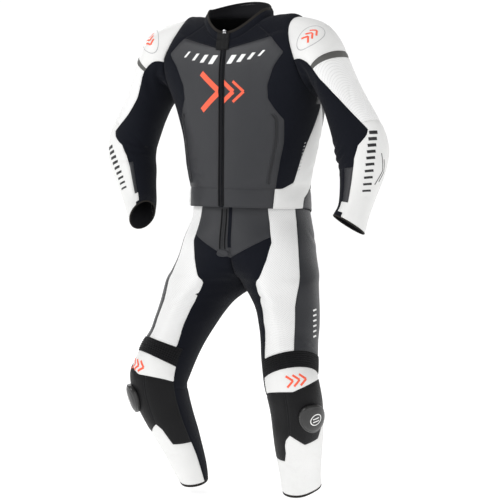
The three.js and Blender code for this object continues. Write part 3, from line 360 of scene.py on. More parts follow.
def pelvis(p):
    a = math.radians(PELVIS["turn"])
    x = p[..., 0] * math.cos(a) - p[..., 1] * math.sin(a)
    y = p[..., 0] * math.sin(a) + p[..., 1] * math.cos(a) + PELVIS["y"]
    return stack(x, y, p[..., 2])


# The pieces of the pattern, each with its finish. The first seven run across both sides.
FINISH = {
    "front_zip": "stretch", "fly": "stretch", "collar_binding": "binding", "collar": "stretch",
    "back": "grey", "back_band": "grey", "seat": "grey", "front_band": "grey", "side_white": "white",
    "chest": "grey", "front_stretch": "stretch", "yoke": "stretch", "shoulder_white": "white",
    "sleeve_stretch": "stretch", "stripe": "tape", "sleeve_white": "white_perforated",
    "forearm_white": "white", "gusset": "grey", "thigh_side": "grey", "thigh_white": "white_perforated",
    "front_leather": "grey", "thigh_stretch": "stretch", "knee_white": "white", "knee_black": "black",
    "calf_leather": "black", "calf_stretch": "stretch", "shin_white": "white", "hem_binding": "binding",
    "knee_ribs": "ribbed",
}
PIECES = tuple(FINISH)
CODE = {name: k for k, name in enumerate(PIECES)}
ONE_PIECE = PIECES[:7]

# What each place of a grid carries, U and V being lengths over the cloth
X, Y, Z, ANGLE, ROW, COLUMN, ACROSS, U, V = range(9)


def pick(default, *choices):
    """The first choice whose condition holds at each place, as a piece's code."""
    conditions = [condition for condition, _ in choices]
    return np.select(conditions, [CODE[name] for _, name in choices], CODE[default])


def torso_piece(a, side):
    x = np.abs(a[:, X])
    y = a[:, Y]
    z = a[:, Z]
    row = a[:, ROW]
    v_line = V_LINE["z"] + V_LINE["rise"] * np.minimum(x / V_LINE["reach"], V_LINE["limit"])
    behind = y > np.where(z > SIDE_TOP, YOKE_BACK, at(SIDE_WHITE_BACK, z))
    in_chest = x < at(CHEST_EDGE, z)
    low = row < TORSO_ROW["waist"]
    return pick(
        "front_stretch",
        (np.abs(a[:, ANGLE]) < HALF_COLUMNS[0], "front_zip"),
        (row > TORSO_ROW["binding"], "collar_binding"),
        (row > TORSO_ROW["neck"], "collar"),
        (low & behind, "back_band"),
        (low & in_chest & (y < 0), "front_band"),
        (low, "side_white"),
        (behind, "back"),
        ((z > v_line) & (x < at(YOKE_EDGE, z)), "yoke"),
        ((y < CHEST_BACK) & in_chest & (z < v_line), "chest"),
        ((z < SIDE_TOP) & (y > at(SIDE_WHITE_FRONT, z)), "side_white"),
    )


def stripe_row(angle):
    a = np.radians(angle)
    return STRIPE["row"] - STRIPE["bow"] * (1 - np.cos(a * STRIPE["turn"])) + STRIPE["lean"] * np.sin(a)


def sleeve_piece(a, side):
    angle = np.where(a[:, ANGLE] > 180, a[:, ANGLE] - 360, a[:, ANGLE])
    row = a[:, ROW]
    edge = np.where(row < CUFF_TAB["to"], CUFF_TAB["angle"], CUFF_TAB["edge"])
    tab = (row > CUFF_TAB["from"]) & (angle > 0) & (angle < edge)
    twist = SLEEVE_TWIST[side] * smooth(row, SLEEVE_ROW["s3"], SLEEVE_ROW["s6"])
    white = tab | ((angle > SLEEVE_WHITE_BACK) & (angle < at(SLEEVE_WHITE_FRONT, row) + twist))
    inner = (angle > 0) & (angle < GUSSET["angle"] + twist / 4)
    gusset = (row > GUSSET["from"]) & (row < GUSSET["to"]) & inner
    return pick(
        "sleeve_stretch",
        (white & (np.abs(row - stripe_row(angle)) < STRIPE["half"]), "stripe"),
        (white & (row < stripe_row(angle)), "shoulder_white"),
        (white & (row < SLEEVE_ROW["s6"] + 0.6), "sleeve_white"),
        (white, "forearm_white"),
        (gusset, "gusset"),
    )


def leg_piece(a, side):
    row = a[:, ROW]
    angle = np.where(a[:, ANGLE] > 250, a[:, ANGLE] - 360, a[:, ANGLE])
    column = np.where(a[:, COLUMN] > 15, a[:, COLUMN] - LEG_OUTER - LEG_INNER, a[:, COLUMN])
    front = at(THIGH_WHITE_FRONT, row)
    outer = at(THIGH_WHITE_SIDE, row)
    thigh = row < LEG_ROW["ribTop"]
    slope = FRONT_LEATHER["z"] + FRONT_LEATHER["rise"] * a[:, ACROSS] / FRONT_LEATHER["reach"]
    knee = (column > KNEE_COLUMNS[0]) & (column < KNEE_COLUMNS[1])
    lens = row < at(LENS_END, angle) + min(KNEE_SLIDE[side], 0)
    knee_end = row < at(KNEE_END, angle) + np.where(angle < TONGUE["turn"], TONGUE_DROP[side], 0)
    return pick(
        "calf_stretch",
        (row > HEM_BINDING, "hem_binding"),
        ((row < FLY["to"]) & (a[:, ACROSS] < FLY["half"]) & (np.abs(a[:, ANGLE]) < 90), "fly"),
        (thigh & (angle > front) & (angle < outer), "thigh_white"),
        (thigh & (angle <= front) & (a[:, Z] > slope), "front_leather"),
        (thigh & (angle <= front), "thigh_stretch"),
        (thigh & (angle > BACK_ANGLE) & (row < LEG_ROW["crotch"] + 0.5), "seat"),
        (thigh & (angle > BACK_ANGLE), "thigh_stretch"),
        (thigh, "thigh_side"),
        (knee & (row < LEG_ROW["ribEnd"]), "knee_ribs"),
        (knee & lens, "knee_white"),
        (knee & knee_end & (angle < TONGUE["white"]), "calf_leather"),
        (knee & knee_end, "knee_black"),
        (knee, "shin_white"),
        (row < LEG_ROW["knee"] + 0.5, "thigh_stretch"),
        ((column > 0) & (column < CALF_COLUMN), "shin_white"),
    )


PIECE_OF = {"torso": torso_piece, "sleeve": sleeve_piece, "leg": leg_piece}


# Fine grids over the forms
def cut_lengths(p, middle):
    """Distances over the cloth: across from one column, and down from the first row."""
    across = np.linalg.norm(np.diff(p, axis=1), axis=2)
    down = np.linalg.norm(np.diff(p, axis=0), axis=2)
    u = np.concatenate([np.zeros((len(p), 1)), np.cumsum(across, axis=1)], axis=1)
    v = np.concatenate([np.zeros((1, p.shape[1])), np.cumsum(down, axis=0)], axis=0)
    return u - u[:, [middle]], v


def softened(p, rounds, rows):
    """Eases a grid along its rows, between the first and last of those given."""
    for _ in range(rounds):
        eased = p.copy()
        eased[1:-1] = (p[:-2] + 2 * p[1:-1] + p[2:]) / 4
        p = np.where(rows[:, None, None], eased, p)
    return p


def grid_attributes(p, angle, row, column, middle):
    u, v = cut_lengths(p, middle)
    flat = (p[..., 0], p[..., 1], p[..., 2], angle, row, column, p[..., 0], u, v)
    return np.stack([np.broadcast_to(layer, p.shape[:2]) for layer in flat], -1).reshape(-1, len(flat))


def grid_triangles(shape, present):
    rows, columns = shape
    index = np.arange(rows * columns).reshape(rows, columns)
    a, b, c, d = (q.ravel() for q in (index[:-1, :-1], index[:-1, 1:], index[1:, 1:], index[1:, :-1]))
    keep = present.ravel()[[a, b, c, d]].all(axis=0)
    a, b, c, d = (q[keep] for q in (a, b, c, d))
    return np.concatenate([np.stack([a, b, c], 1), np.stack([a, c, d], 1)])


def directed_edges(triangles):
    return np.concatenate([triangles[:, [0, 1]], triangles[:, [1, 2]], triangles[:, [2, 0]]])


def unique_edges(triangles):
    return np.unique(np.sort(directed_edges(triangles), axis=1), axis=0, return_counts=True)


def snapped(places, triangles, label):
    """Moves the corners nearest a seam onto it, so that no triangle lies on two pieces."""
    edges, uses = unique_edges(triangles)
    on_border = np.zeros(len(places), bool)
    on_border[edges[uses == 1].ravel()] = True
    names = label(places)
    crossed = names[edges[:, 0]] != names[edges[:, 1]]
    border = (uses == 1)[crossed]
    a, b = edges[crossed].T
    low = np.zeros(len(a))
    high = np.ones(len(a))
    for _ in range(22):
        middle = (low + high) / 2
        same = label(lerp(places[a], places[b], middle[:, None])) == names[a]
        low = np.where(same, middle, low)
        high = np.where(same, high, middle)
    moves_a = low < 0.5
    moves_a = np.where(~border & on_border[a] & ~on_border[b], False, moves_a)
    moves_a = np.where(~border & on_border[b] & ~on_border[a], True, moves_a)
    mover = np.where(moves_a, a, b)
    other = np.where(moves_a, b, a)
    share = np.where(moves_a, low, 1 - low)
    allowed = (share < 0.8) & (border | ~on_border[mover])
    length = np.linalg.norm(places[a, :3] - places[b, :3], axis=1)
    order = np.argsort(share * length)
    order = order[allowed[order]]
    _, first = np.unique(mover[order], return_index=True)
    chosen = order[first]
    moved = places.copy()
    moved[mover[chosen]] = lerp(places[mover[chosen]], places[other[chosen]], share[chosen, None])
    return moved


def torso_half(side):
    i = np.linspace(0, len(HALF_COLUMNS) - 1, (len(HALF_COLUMNS) - 1) * CELLS + 1)
    j = fractions(TORSO_CELLS)
    column, row = np.meshgrid(i, j)
    p = torso_grid_point(column, row)
    p[:, [0, -1], 0] = STRIP_HALF
    far = round_armhole(column, row)[0]
    angle = np.interp(column, np.arange(len(HALF_COLUMNS)), HALF_COLUMNS)
    places = grid_attributes(p, angle, row, column, len(i) // 3)
    return places, grid_triangles(p.shape[:2], far > 1 - 1e-6), p


def torso_strip(line, angle):
    """The strip across the middle, between the two halves' first or last columns."""
    across = np.linspace(-1, 1, 5)
    p = line[:, None, :] * stack(across, 1, 1)[None]
    row = np.broadcast_to(fractions(TORSO_CELLS)[:, None], p.shape[:2])
    spread = angle + HALF_COLUMNS[0] * 0.99 * across[None] * (-1 if angle else 1)
    places = grid_attributes(p, spread, row, 0 * row, 2)
    return places, grid_triangles(p.shape[:2], np.ones(p.shape[:2], bool))


def sleeve_grid(side):
    columns = 2 * (HOLE["last"] - HOLE["first"] + HOLE["high"] - HOLE["low"])
    step = 360 / columns
    turn = step / 2 + np.arange(columns * CELLS + 1) * step / CELLS
    angle, row = np.meshgrid(turn, fractions(SLEEVE_CELLS))
    p = sleeve_point(angle, row, side)
    rows = row[:, 0]
    p = softened(p, 8, (rows > 0) & (rows < 1.8))
    places = grid_attributes(p, angle, row, 0 * row, 0)
    return places, grid_triangles(p.shape[:2], np.ones(p.shape[:2], bool))


def leg_grid(side):
    i = np.linspace(0, LEG_OUTER + LEG_INNER, (LEG_OUTER + LEG_INNER) * LEG_COLUMN_CELLS + 1)
    column, row = np.meshgrid(i, fractions(LEG_CELLS))
    p = leg_grid_point(column, row, side)
    places = grid_attributes(p, leg_angle(column, row), row, column, LEG_OUTER // 2 * LEG_COLUMN_CELLS)
    present = (column <= LEG_OUTER) | (row >= LEG_ROW["crotch"])
    return places, grid_triangles(p.shape[:2], present)


class Garment:
    """The grids of one garment, joined, with the name of each triangle's piece."""

    def __init__(self):
        self.places = []
        self.triangles = []
        self.names = []
        self.count = 0

    def add(self, part, side, places, triangles, turned=False):
        label = lambda a: PIECE_OF[part](a, side)
        places = snapped(places, triangles, label)
        names = label(places[triangles].mean(axis=1))
        if turned:
            triangles = triangles[:, ::-1]
        if side == "right":
            places = places * np.where(np.arange(places.shape[1]) == X, -1, 1)
            triangles = triangles[:, ::-1]
        self.places.append(places)
        self.triangles.append(triangles + self.count)
        self.names.append(names * 2 + (side == "right"))
        self.count += len(places)

    def join(self):
        places = np.concatenate(self.places)
        triangles = np.concatenate(self.triangles)
        names = np.concatenate(self.names)
        one = names // 2 < len(ONE_PIECE)
        names[one] -= names[one] % 2
        keys = np.round(places[:, :3] * 50).astype(np.int64)
        _, first, back = np.unique(keys, axis=0, return_index=True, return_inverse=True)
        self.position = places[first, :3]
        corner = back.ravel()[triangles]
        real = (corner != np.roll(corner, -1, axis=1)).all(axis=1)
        self.corner = corner[real]
        self.cut = places[triangles[real]][:, :, [U, V]]
        self.name = names[real]
        self.place = places[first]
        self.normal = vertex_normals(self.position, self.corner)


def vertex_normals(points, triangles):
    a, b, c = (points[triangles[:, k]] for k in range(3))
    face = np.cross(b - a, c - a)
    total = np.zeros_like(points)
    for k in range(3):
        np.add.at(total, triangles[:, k], face)
    return unit(total)


jacket = Garment()
for side in SIDES:
    half_places, half_triangles, half = torso_half(side)
    jacket.add("torso", side, half_places, half_triangles)
    jacket.add("sleeve", side, *sleeve_grid(side))
jacket.add("torso", "left", *torso_strip(half[:, 0], 0))
jacket.add("torso", "left", *torso_strip(half[:, -1], 180), turned=True)
jacket.join()

trousers = Garment()
for side in SIDES:
    trousers.add("leg", side, *leg_grid(side), turned=True)
trousers.join()
trousers.position = pelvis(trousers.position)
trousers.normal = vertex_normals(trousers.position, trousers.corner)


# Relief over the forms: what the plain wall is raised or sunk by, in millimetres
SEAM = {"dip": 1.0, "width": 3.0, "swell": 0.7, "swell_width": 16}
WAVE = {"high": 0.5, "x": 23, "y": 31, "z": 27, "bend": 1.3, "bend_z": 41, "fade": 12}


def distance_to_seams(garment):
    """Each point's distance from the nearest seam or open edge."""
    edges, uses = unique_edges(garment.corner)
    pairs = directed_edges(garment.corner)
    names = np.tile(garment.name, 3)
    order = np.lexsort((pairs.max(axis=1), pairs.min(axis=1)))
    pairs = np.sort(pairs[order], axis=1)
    names = names[order]
    same = (pairs[1:] == pairs[:-1]).all(axis=1)
    seam = pairs[1:][same & (names[1:] != names[:-1])]
    points = np.unique(np.concatenate([seam.ravel(), edges[uses == 1].ravel()]))
    tree = kdtree.KDTree(len(points))
    for k, p in enumerate(garment.position[points]):
        tree.insert(p, k)
    tree.balance()
    return np.array([tree.find(p)[2] for p in garment.position])


def form_relief(garment):
    far = distance_to_seams(garment)
    relief = -SEAM["dip"] * np.exp(-((far / SEAM["width"]) ** 2))
    relief += SEAM["swell"] * (1 - np.exp(-far / SEAM["swell_width"]))
    x, y, z = garment.position.T
    across = np.sin(x / WAVE["x"] + WAVE["bend"] * np.sin(z / WAVE["bend_z"]))
    down = np.sin(y / WAVE["y"] + z / WAVE["z"])
    return relief + WAVE["high"] * across * down * np.minimum(far / WAVE["fade"], 1)


# Creases, given one by one: a soft trough with a ridge on each side along a line of places.
# Sleeve angles are 0 outer, 90 front, 180 inner, 270 back; leg and torso angles 0 front, 90 side, 180 back.
# Columns: part, sides, line of places (angle, row), depth and width in millimetres.
CREASES = (
    ("sleeve", "both", ((112, 7.5), (150, 8.1), (196, 8.4)), 2.6, 7),
    ("sleeve", "both", ((98, 8.3), (138, 8.8), (186, 8.9)), 2.0, 6),
    ("sleeve", "both", ((118, 6.7), (156, 7.2), (206, 7.7)), 1.8, 8),
    ("sleeve", "left", ((104, 9.3), (140, 9.6), (168, 9.5)), 1.3, 6),
    ("sleeve", "right", ((66, 8.7), (100, 9.2), (126, 9.4)), 1.4, 6),
    ("sleeve", "both", ((96, 0.4), (122, 1.6), (152, 2.7)), 2.0, 8),
    ("sleeve", "both", ((112, 0.3), (142, 1.3), (172, 2.0)), 2.3, 8),
    ("sleeve", "both", ((84, 1.8), (108, 3.2), (140, 4.3)), 1.2, 9),
    ("sleeve", "both", ((246, 0.3), (216, 1.6), (190, 2.5)), 2.2, 9),
    ("sleeve", "both", ((268, 0.5), (240, 2.2), (214, 3.4)), 1.8, 9),
    ("sleeve", "left", ((24, 5.1), (44, 5.5), (58, 5.6)), 1.3, 5),
    ("sleeve", "both", ((12, 5.9), (38, 6.2)), 1.0, 5),
    ("sleeve", "right", ((335, 6.3), (352, 6.6), (366, 6.6)), 1.2, 6),
    ("sleeve", "both", ((300, 7.8), (270, 8.3), (236, 8.5)), 1.5, 7),
    ("sleeve", "both", ((310, 9.0), (284, 9.4), (250, 9.5)), 1.1, 6),
    ("sleeve", "left", ((20, 10.9), (52, 11.3)), 0.9, 6),
    ("sleeve", "right", ((340, 11.6), (364, 11.4)), 0.8, 6),
    ("torso", "both", ((42, 7.9), (58, 7.0), (70, 6.2)), 1.8, 9),
    ("torso", "both", ((50, 9.0), (62, 8.0), (74, 6.6)), 1.5, 8),
    ("torso", "left", ((18, 1.3), (40, 1.7), (58, 1.4)), 1.3, 10),
    ("torso", "right", ((12, 1.8), (30, 2.3), (52, 2.2)), 1.4, 10),
    ("torso", "both", ((22, 3.4), (44, 3.0), (66, 3.3)), 1.0, 12),
    ("torso", "both", ((86, 2.2), (104, 2.7), (128, 2.5)), 1.5, 9),
    ("torso", "both", ((90, 3.8), (112, 4.2), (138, 3.9)), 1.2, 10),
    ("torso", "both", ((178, 1.7), (156, 1.9), (134, 1.6)), 2.0, 9),
    ("torso", "left", ((174, 2.7), (150, 3.0), (126, 3.4)), 1.8, 10),
    ("torso", "right", ((176, 3.5), (148, 3.3), (120, 2.9)), 1.6, 11),
    ("torso", "both", ((112, 6.4), (132, 7.2), (154, 7.6)), 1.6, 11),
    ("torso", "both", ((120, 8.8), (140, 9.2), (160, 9.1)), 1.2, 10),
    ("leg", "both", ((-54, 5.5), (-28, 5.1), (6, 4.9)), 1.8, 8),
    ("leg", "both", ((-50, 6.5), (-14, 6.6), (10, 7.1)), 1.6, 8),
    ("leg", "left", ((-40, 4.5), (-18, 3.9), (0, 3.8)), 1.5, 8),
    ("leg", "right", ((-34, 4.7), (-8, 4.4)), 1.3, 8),
    ("leg", "both", ((-52, 7.6), (-30, 8.2), (-22, 9.0)), 1.1, 8),
    ("leg", "both", ((84, 2.5), (104, 3.1), (126, 3.0)), 1.6, 8),
    ("leg", "left", ((62, 9.3), (84, 9.6), (106, 9.4)), 1.8, 6),
    ("leg", "both", ((174, 4.7), (150, 5.1), (124, 5.2)), 1.6, 10),
    ("leg", "both", ((206, 6.3), (176, 6.6), (140, 6.2)), 2.4, 9),
    ("leg", "both", ((200, 8.2), (172, 8.6), (146, 8.4)), 1.4, 9),
    ("leg", "both", ((214, 10.7), (182, 11.0), (150, 10.8)), 2.6, 7),
    ("leg", "both", ((222, 11.6), (184, 12.0), (146, 11.7)), 3.0, 7),
    ("leg", "both", ((216, 12.6), (182, 12.9), (152, 12.6)), 2.2, 7),
    ("leg", "both", ((206, 14.4), (184, 14.8), (160, 14.6)), 1.2, 9),
    ("leg", "both", ((-26, 16.7), (8, 17.0), (36, 16.8)), 1.3, 5),
    ("leg", "left", ((-12, 17.3), (24, 17.6), (52, 17.4)), 1.1, 5),
    ("leg", "both", ((58, 16.0), (88, 16.5), (108, 16.4)), 1.1, 6),
    ("leg", "right", ((20, 17.9), (60, 18.1)), 0.9, 5),
    ("leg", "both", ((20, 13.1), (38, 12.9)), 1.0, 8),
)
CREASE_STEPS = 28
CREASE_REACH = 3.6       # of its widths, past which a crease changes nothing
WANDER = {"row": 0.06, "turns": 9, "start": 7}
CREASE_SHAPE = {"ridge": 0.45, "ridge_at": 1.7, "ridge_width": 0.9, "taper": 0.7, "end": 0.02}
UNEVEN = {"by": 0.25, "turns": 13, "start": 5}


def surface_point(part, side, angle, row):
    """A place of the suit's plain form, in the suit's frame."""
    angle = np.asarray(angle, float)
    row = np.asarray(row, float)
    mirror = np.array([-1 if side == "right" else 1, 1, 1])
    if part == "leg":
        return pelvis(leg_point(angle, slid(row, side)) * mirror)
    return (sleeve_point(angle, row, side) if part == "sleeve" else torso_point(angle, row)) * mirror


def crease_relief(garment, parts):
    relief = np.zeros(len(garment.position))
    for part, sides, line, depth, width in CREASES:
        if part not in parts:
            continue
        for side in SIDES if sides == "both" else (sides,):
            share = np.linspace(0, 1, CREASE_STEPS)
            places = np.linspace(0, 1, len(line))
            angle = np.interp(share, places, [a for a, _ in line])
            row = np.interp(share, places, [r for _, r in line])
            row = row + WANDER["row"] * np.sin(WANDER["turns"] * share + WANDER["start"] * depth)
            path = surface_point(part, side, angle, row)
            reach = width * CREASE_REACH
            near = ((garment.position > path.min(axis=0) - reach)
                    & (garment.position < path.max(axis=0) + reach)).all(axis=1)
            apart = np.linalg.norm(garment.position[near, None] - path[None], axis=2)
            place = share[apart.argmin(axis=1)]
            far = apart.min(axis=1) / width
            inside = np.clip(place, CREASE_SHAPE["end"], 1 - CREASE_SHAPE["end"])
            taper = np.sin(np.pi * inside) ** CREASE_SHAPE["taper"]
            uneven = 1 + UNEVEN["by"] * np.sin(UNEVEN["turns"] * place + UNEVEN["start"] * depth)
            ridge = np.exp(-(((far - CREASE_SHAPE["ridge_at"]) / CREASE_SHAPE["ridge_width"]) ** 2))
            relief[near] += depth * taper * uneven * (CREASE_SHAPE["ridge"] * ridge - np.exp(-(far**2)))
    return relief


def rib_relief(garment):
    row = garment.place[:, ROW]
    share = np.clip((row - RIBS["rows"][0]) / (RIBS["rows"][1] - RIBS["rows"][0]), 0, 1)
    return RIBS["high"] * np.abs(np.sin(np.pi * RIBS["count"] * share)) ** 0.8


def open_pairs(triangles, count):
    """The directed edges that no other triangle runs back along."""
    pairs = directed_edges(triangles).astype(np.int64)
    keys = pairs[:, 0] * count + pairs[:, 1]
    back = pairs[:, 1] * count + pairs[:, 0]
    return pairs[~np.isin(keys, back)]


def drawn_in(p, n, pairs, by):
    """Points whose open edges draw back into the piece."""
    inward = unit(np.cross(n[pairs[:, 0]] + n[pairs[:, 1]], p[pairs[:, 1]] - p[pairs[:, 0]]))
    total = np.zeros_like(p)
    for k in range(2):
        np.add.at(total, pairs[:, k], inward)
    touched = np.unique(pairs)
    moved = p.copy()
    moved[touched] += unit(total[touched]) * by
    return moved


def mesh_object(name, points, faces, uv=None, uv_faces=None, second=None, smooth_angle=50):
    """An object from points in millimetres. second marks the faces of its second material."""
    mesh = bpy.data.meshes.new(name)
    mesh.from_pydata((np.asarray(points) * MM).tolist(), [], [list(face) for face in faces])
    if uv is not None:
        layer = mesh.uv_layers.new(name="cut")
        flat = np.zeros((len(mesh.loops), 2))
        flat[: uv.size // 2] = uv.reshape(-1, 2)
        layer.data.foreach_set("uv", (flat * MM).ravel())
    if second is not None:
        mesh.polygons.foreach_set("material_index", np.asarray(second, int).tolist())
    mesh.polygons.foreach_set("use_smooth", [True] * len(mesh.polygons))
    mesh.set_sharp_from_angle(angle=math.radians(smooth_angle))
    mesh.update()
    made = bpy.data.objects.new(name, mesh)
    bpy.context.scene.collection.objects.link(made)
    return made


def shell_piece(garment, name, code, relief, thickness):
    mine = garment.name == code
    ids, corner = np.unique(garment.corner[mine], return_inverse=True)
    corner = corner.reshape(-1, 3)
    pairs = open_pairs(corner, len(ids))
    inner = drawn_in(garment.position[ids], garment.normal[ids], pairs, SEAM_GAP / 2)
    outer = inner + garment.normal[ids] * (thickness + relief[ids])[:, None]
    count = len(ids)
    rim = [(b + count, a + count, a, b) for a, b in pairs.tolist()]
    faces = (corner + count).tolist() + corner[:, ::-1].tolist() + rim
    uv = np.concatenate([garment.cut[mine], garment.cut[mine][:, ::-1]])
    second = np.zeros(len(faces), int)
    second[len(corner):2 * len(corner)] = 1
    made = mesh_object(name, np.concatenate([inner, outer]), faces, uv, second=second)
    a, b, c = (garment.position[garment.corner[mine][:, k]] for k in range(3))
    area = np.linalg.norm(np.cross(b - a, c - a), axis=1).sum() / 2 * MM * MM
    spans = np.ptp(garment.cut[mine].reshape(-1, 2), axis=0) * MM
    return made, spans, area


# Materials
def new_material(name, **sockets):
    material = bpy.data.materials.new(name)
    material.use_nodes = True
    shader = material.node_tree.nodes["Principled BSDF"]
    for socket, value in sockets.items():
        shader.inputs[socket.replace("_", " ")].default_value = value
    return material, material.node_tree, shader


def add_node(tree, kind, inputs=(), **settings):
    """A node with its settings; inputs are (socket, value or output of another node)."""
    made = tree.nodes.new(kind)
    for key, value in settings.items():
        setattr(made, key, value)
    for socket, value in inputs:
        if isinstance(value, bpy.types.NodeSocket):
            tree.links.new(value, made.inputs[socket])
        else:
            made.inputs[socket].default_value = value
    return made


def mapped(tree, value, source, target):
    """A value whose range source = (low, high) becomes target = (low, high)."""
    made = add_node(tree, "ShaderNodeMapRange", (
        ("Value", value), ("From Min", source[0]), ("From Max", source[1]),
        ("To Min", target[0]), ("To Max", target[1])))
    return made.outputs["Result"]


# Where a colour mix node keeps its sockets
MIX_SHARE, MIX_A, MIX_B, MIX_RESULT = 0, 6, 7, 2


def colour_mix(tree, share, a, b):
    inputs = ((MIX_SHARE, share), (MIX_A, a), (MIX_B, b))
    return add_node(tree, "ShaderNodeMix", inputs, data_type="RGBA").outputs[MIX_RESULT]


def maths(tree, operation, a, b=0.0):
    return add_node(tree, "ShaderNodeMath", ((0, a), (1, b)), operation=operation).outputs[0]


def vector(tree, operation, a, b=(0, 0, 0)):
    made = add_node(tree, "ShaderNodeVectorMath", ((0, a), (1, b)), operation=operation)
    return made.outputs["Value" if operation == "LENGTH" else "Vector"]


def noise(tree, where, scale, detail=3.0):
    made = add_node(tree, "ShaderNodeTexNoise", (("Vector", where), ("Scale", scale), ("Detail", detail)))
    return made.outputs["Fac"]


def shade(colour, by):
    return tuple(min(1.0, c * by) for c in colour[:3]) + (1.0,)


def dots(tree, where, pitch, radius):
    """1 inside the holes of a staggered perforation over the cut cloth, 0 between them."""
    found = []
    for shift in (0.0, 0.5):
        scaled = vector(tree, "MULTIPLY", where, (1 / pitch,) * 3)
        part = vector(tree, "FRACTION", vector(tree, "ADD", scaled, (shift, shift, 0)))
        middle = vector(tree, "SUBTRACT", part, (0.5, 0.5, 0))
        length = vector(tree, "LENGTH", vector(tree, "MULTIPLY", middle, (1, 1, 0)))
        found.append(mapped(tree, length, (radius / pitch, 0.75 * radius / pitch), (0.0, 1.0)))
    return maths(tree, "MAXIMUM", *found)


def finished(tree, shader, tone, rough, height, strength, distance):
    """Joins a material's colour, roughness and relief to its shader."""
    inputs = (("Height", height), ("Strength", strength), ("Distance", distance))
    bump = add_node(tree, "ShaderNodeBump", inputs)
    tree.links.new(tone, shader.inputs["Base Color"])
    tree.links.new(rough, shader.inputs["Roughness"])
    tree.links.new(bump.outputs["Normal"], shader.inputs["Normal"])


def leather(name, colour, roughness, coat=0.0, perforated=False, grain=0.25, gloss=0.4):
    material, tree, shader = new_material(
        name, Coat_Weight=coat, Coat_Roughness=0.35, Specular_IOR_Level=gloss)
    where = add_node(tree, "ShaderNodeTexCoord").outputs["Object"]
    patches = noise(tree, where, scale=9.0, detail=4.0)
    inputs = (("Vector", where), ("Scale", 650.0))
    pores = add_node(tree, "ShaderNodeTexVoronoi", inputs, feature="DISTANCE_TO_EDGE")
    pebble = mapped(tree, pores.outputs["Distance"], (0.0, 0.25), (0.0, 1.0))
    fine = noise(tree, where, scale=1400.0, detail=2.0)
    tone = colour_mix(tree, patches, shade(colour, 0.93), shade(colour, 1.05))
    tone = colour_mix(tree, mapped(tree, pebble, (0.0, 1.0), (0.10, 0.0)), tone, shade(colour, 0.55))
    height = maths(tree, "ADD", pebble, maths(tree, "MULTIPLY", fine, 0.3))
    rough = mapped(tree, patches, (0.2, 0.8), (roughness - 0.06, roughness + 0.07))
    if perforated:
        cut = add_node(tree, "ShaderNodeUVMap", uv_map="cut").outputs["UV"]
        holes = dots(tree, cut, pitch=0.0066, radius=0.0008)
        tone = colour_mix(tree, holes, tone, shade(colour, 0.6))
        height = maths(tree, "SUBTRACT", height, maths(tree, "MULTIPLY", holes, 3.0))
        rough = maths(tree, "MAXIMUM", rough, holes)
    finished(tree, shader, tone, rough, height, strength=grain, distance=0.0004)
    return material


def stretch(name, colour, pitch=0.0011, sheen=0.04):
    material, tree, shader = new_material(
        name, Sheen_Weight=sheen, Sheen_Roughness=0.45, Specular_IOR_Level=0.12)
    cut = add_node(tree, "ShaderNodeUVMap", uv_map="cut").outputs["UV"]
    where = add_node(tree, "ShaderNodeTexCoord").outputs["Object"]
    parts = add_node(tree, "ShaderNodeSeparateXYZ", (("Vector", cut),))
    turn = 2 * math.pi / pitch
    over = maths(tree, "SINE", maths(tree, "MULTIPLY", parts.outputs["X"], turn))
    under = maths(tree, "SINE", maths(tree, "MULTIPLY", parts.outputs["Y"], turn * 0.5))
    weave = maths(tree, "MULTIPLY", over, under)
    patches = noise(tree, where, scale=14.0, detail=4.0)
    fibre = noise(tree, where, scale=900.0, detail=3.0)
    tone = colour_mix(tree, patches, shade(colour, 0.8), shade(colour, 1.25))
    tone = colour_mix(tree, mapped(tree, weave, (-1.0, 1.0), (0.0, 0.35)), tone, shade(colour, 1.9))
    height = maths(tree, "ADD", weave, maths(tree, "MULTIPLY", fibre, 0.8))
    rough = mapped(tree, fibre, (0.3, 0.7), (0.74, 0.94))
    finished(tree, shader, tone, rough, height, strength=0.45, distance=0.0003)
    return material


def speckled(name, colour, roughness, scale, strength, metallic=0.0, coat=0.0):
    """Moulded plastic, metal, tape and print: a fine tooth under an even colour."""
    material, tree, shader = new_material(name, Metallic=metallic, Coat_Weight=coat, Coat_Roughness=0.3)
    where = add_node(tree, "ShaderNodeTexCoord").outputs["Object"]
    tooth = noise(tree, where, scale, detail=3.0)
    wear = noise(tree, where, scale=30.0, detail=5.0)
    tone = colour_mix(tree, wear, shade(colour, 0.88), shade(colour, 1.1))
    rough = mapped(tree, wear, (0.3, 0.7), (roughness - 0.07, roughness + 0.08))
    finished(tree, shader, tone, rough, tooth, strength, distance=0.0003)
    return material


WHITE = (0.80, 0.80, 0.79)
PALE = (0.86, 0.86, 0.855)
GREY = (0.021, 0.022, 0.026)
BLACK = (0.0042, 0.005, 0.0085)
KNEE_BLACK = (0.0035, 0.0035, 0.0042)
LEATHERS = {
    "white": ("white_leather", WHITE, {"roughness": 0.46, "coat": 0.15}),
    "white_perforated": ("white_leather_perforated", PALE,
                         {"roughness": 0.5, "coat": 0.1, "perforated": True}),
    "grey": ("grey_leather", GREY, {"roughness": 0.42, "coat": 0.1, "grain": 0.4, "gloss": 0.36}),
    "black": ("black_leather", KNEE_BLACK, {"roughness": 0.5, "grain": 0.4, "gloss": 0.16}),
}
CLOTHS = {
    "stretch": ("stretch_cloth", BLACK, {}),
    "ribbed": ("ribbed_stretch", (0.006, 0.006, 0.007), {"pitch": 0.0016, "sheen": 0.08}),
    "lining": ("lining", (0.012, 0.012, 0.014), {"pitch": 0.0022, "sheen": 0.05}),
    "binding": ("binding_cloth", (0.018, 0.016, 0.014), {"pitch": 0.0009, "sheen": 0.06}),
    "thread_white": ("thread_white", (0.62, 0.62, 0.6), {"pitch": 0.0006, "sheen": 0.2}),
    "thread_dark": ("thread_dark", (0.022, 0.022, 0.025), {"pitch": 0.0006, "sheen": 0.2}),
}
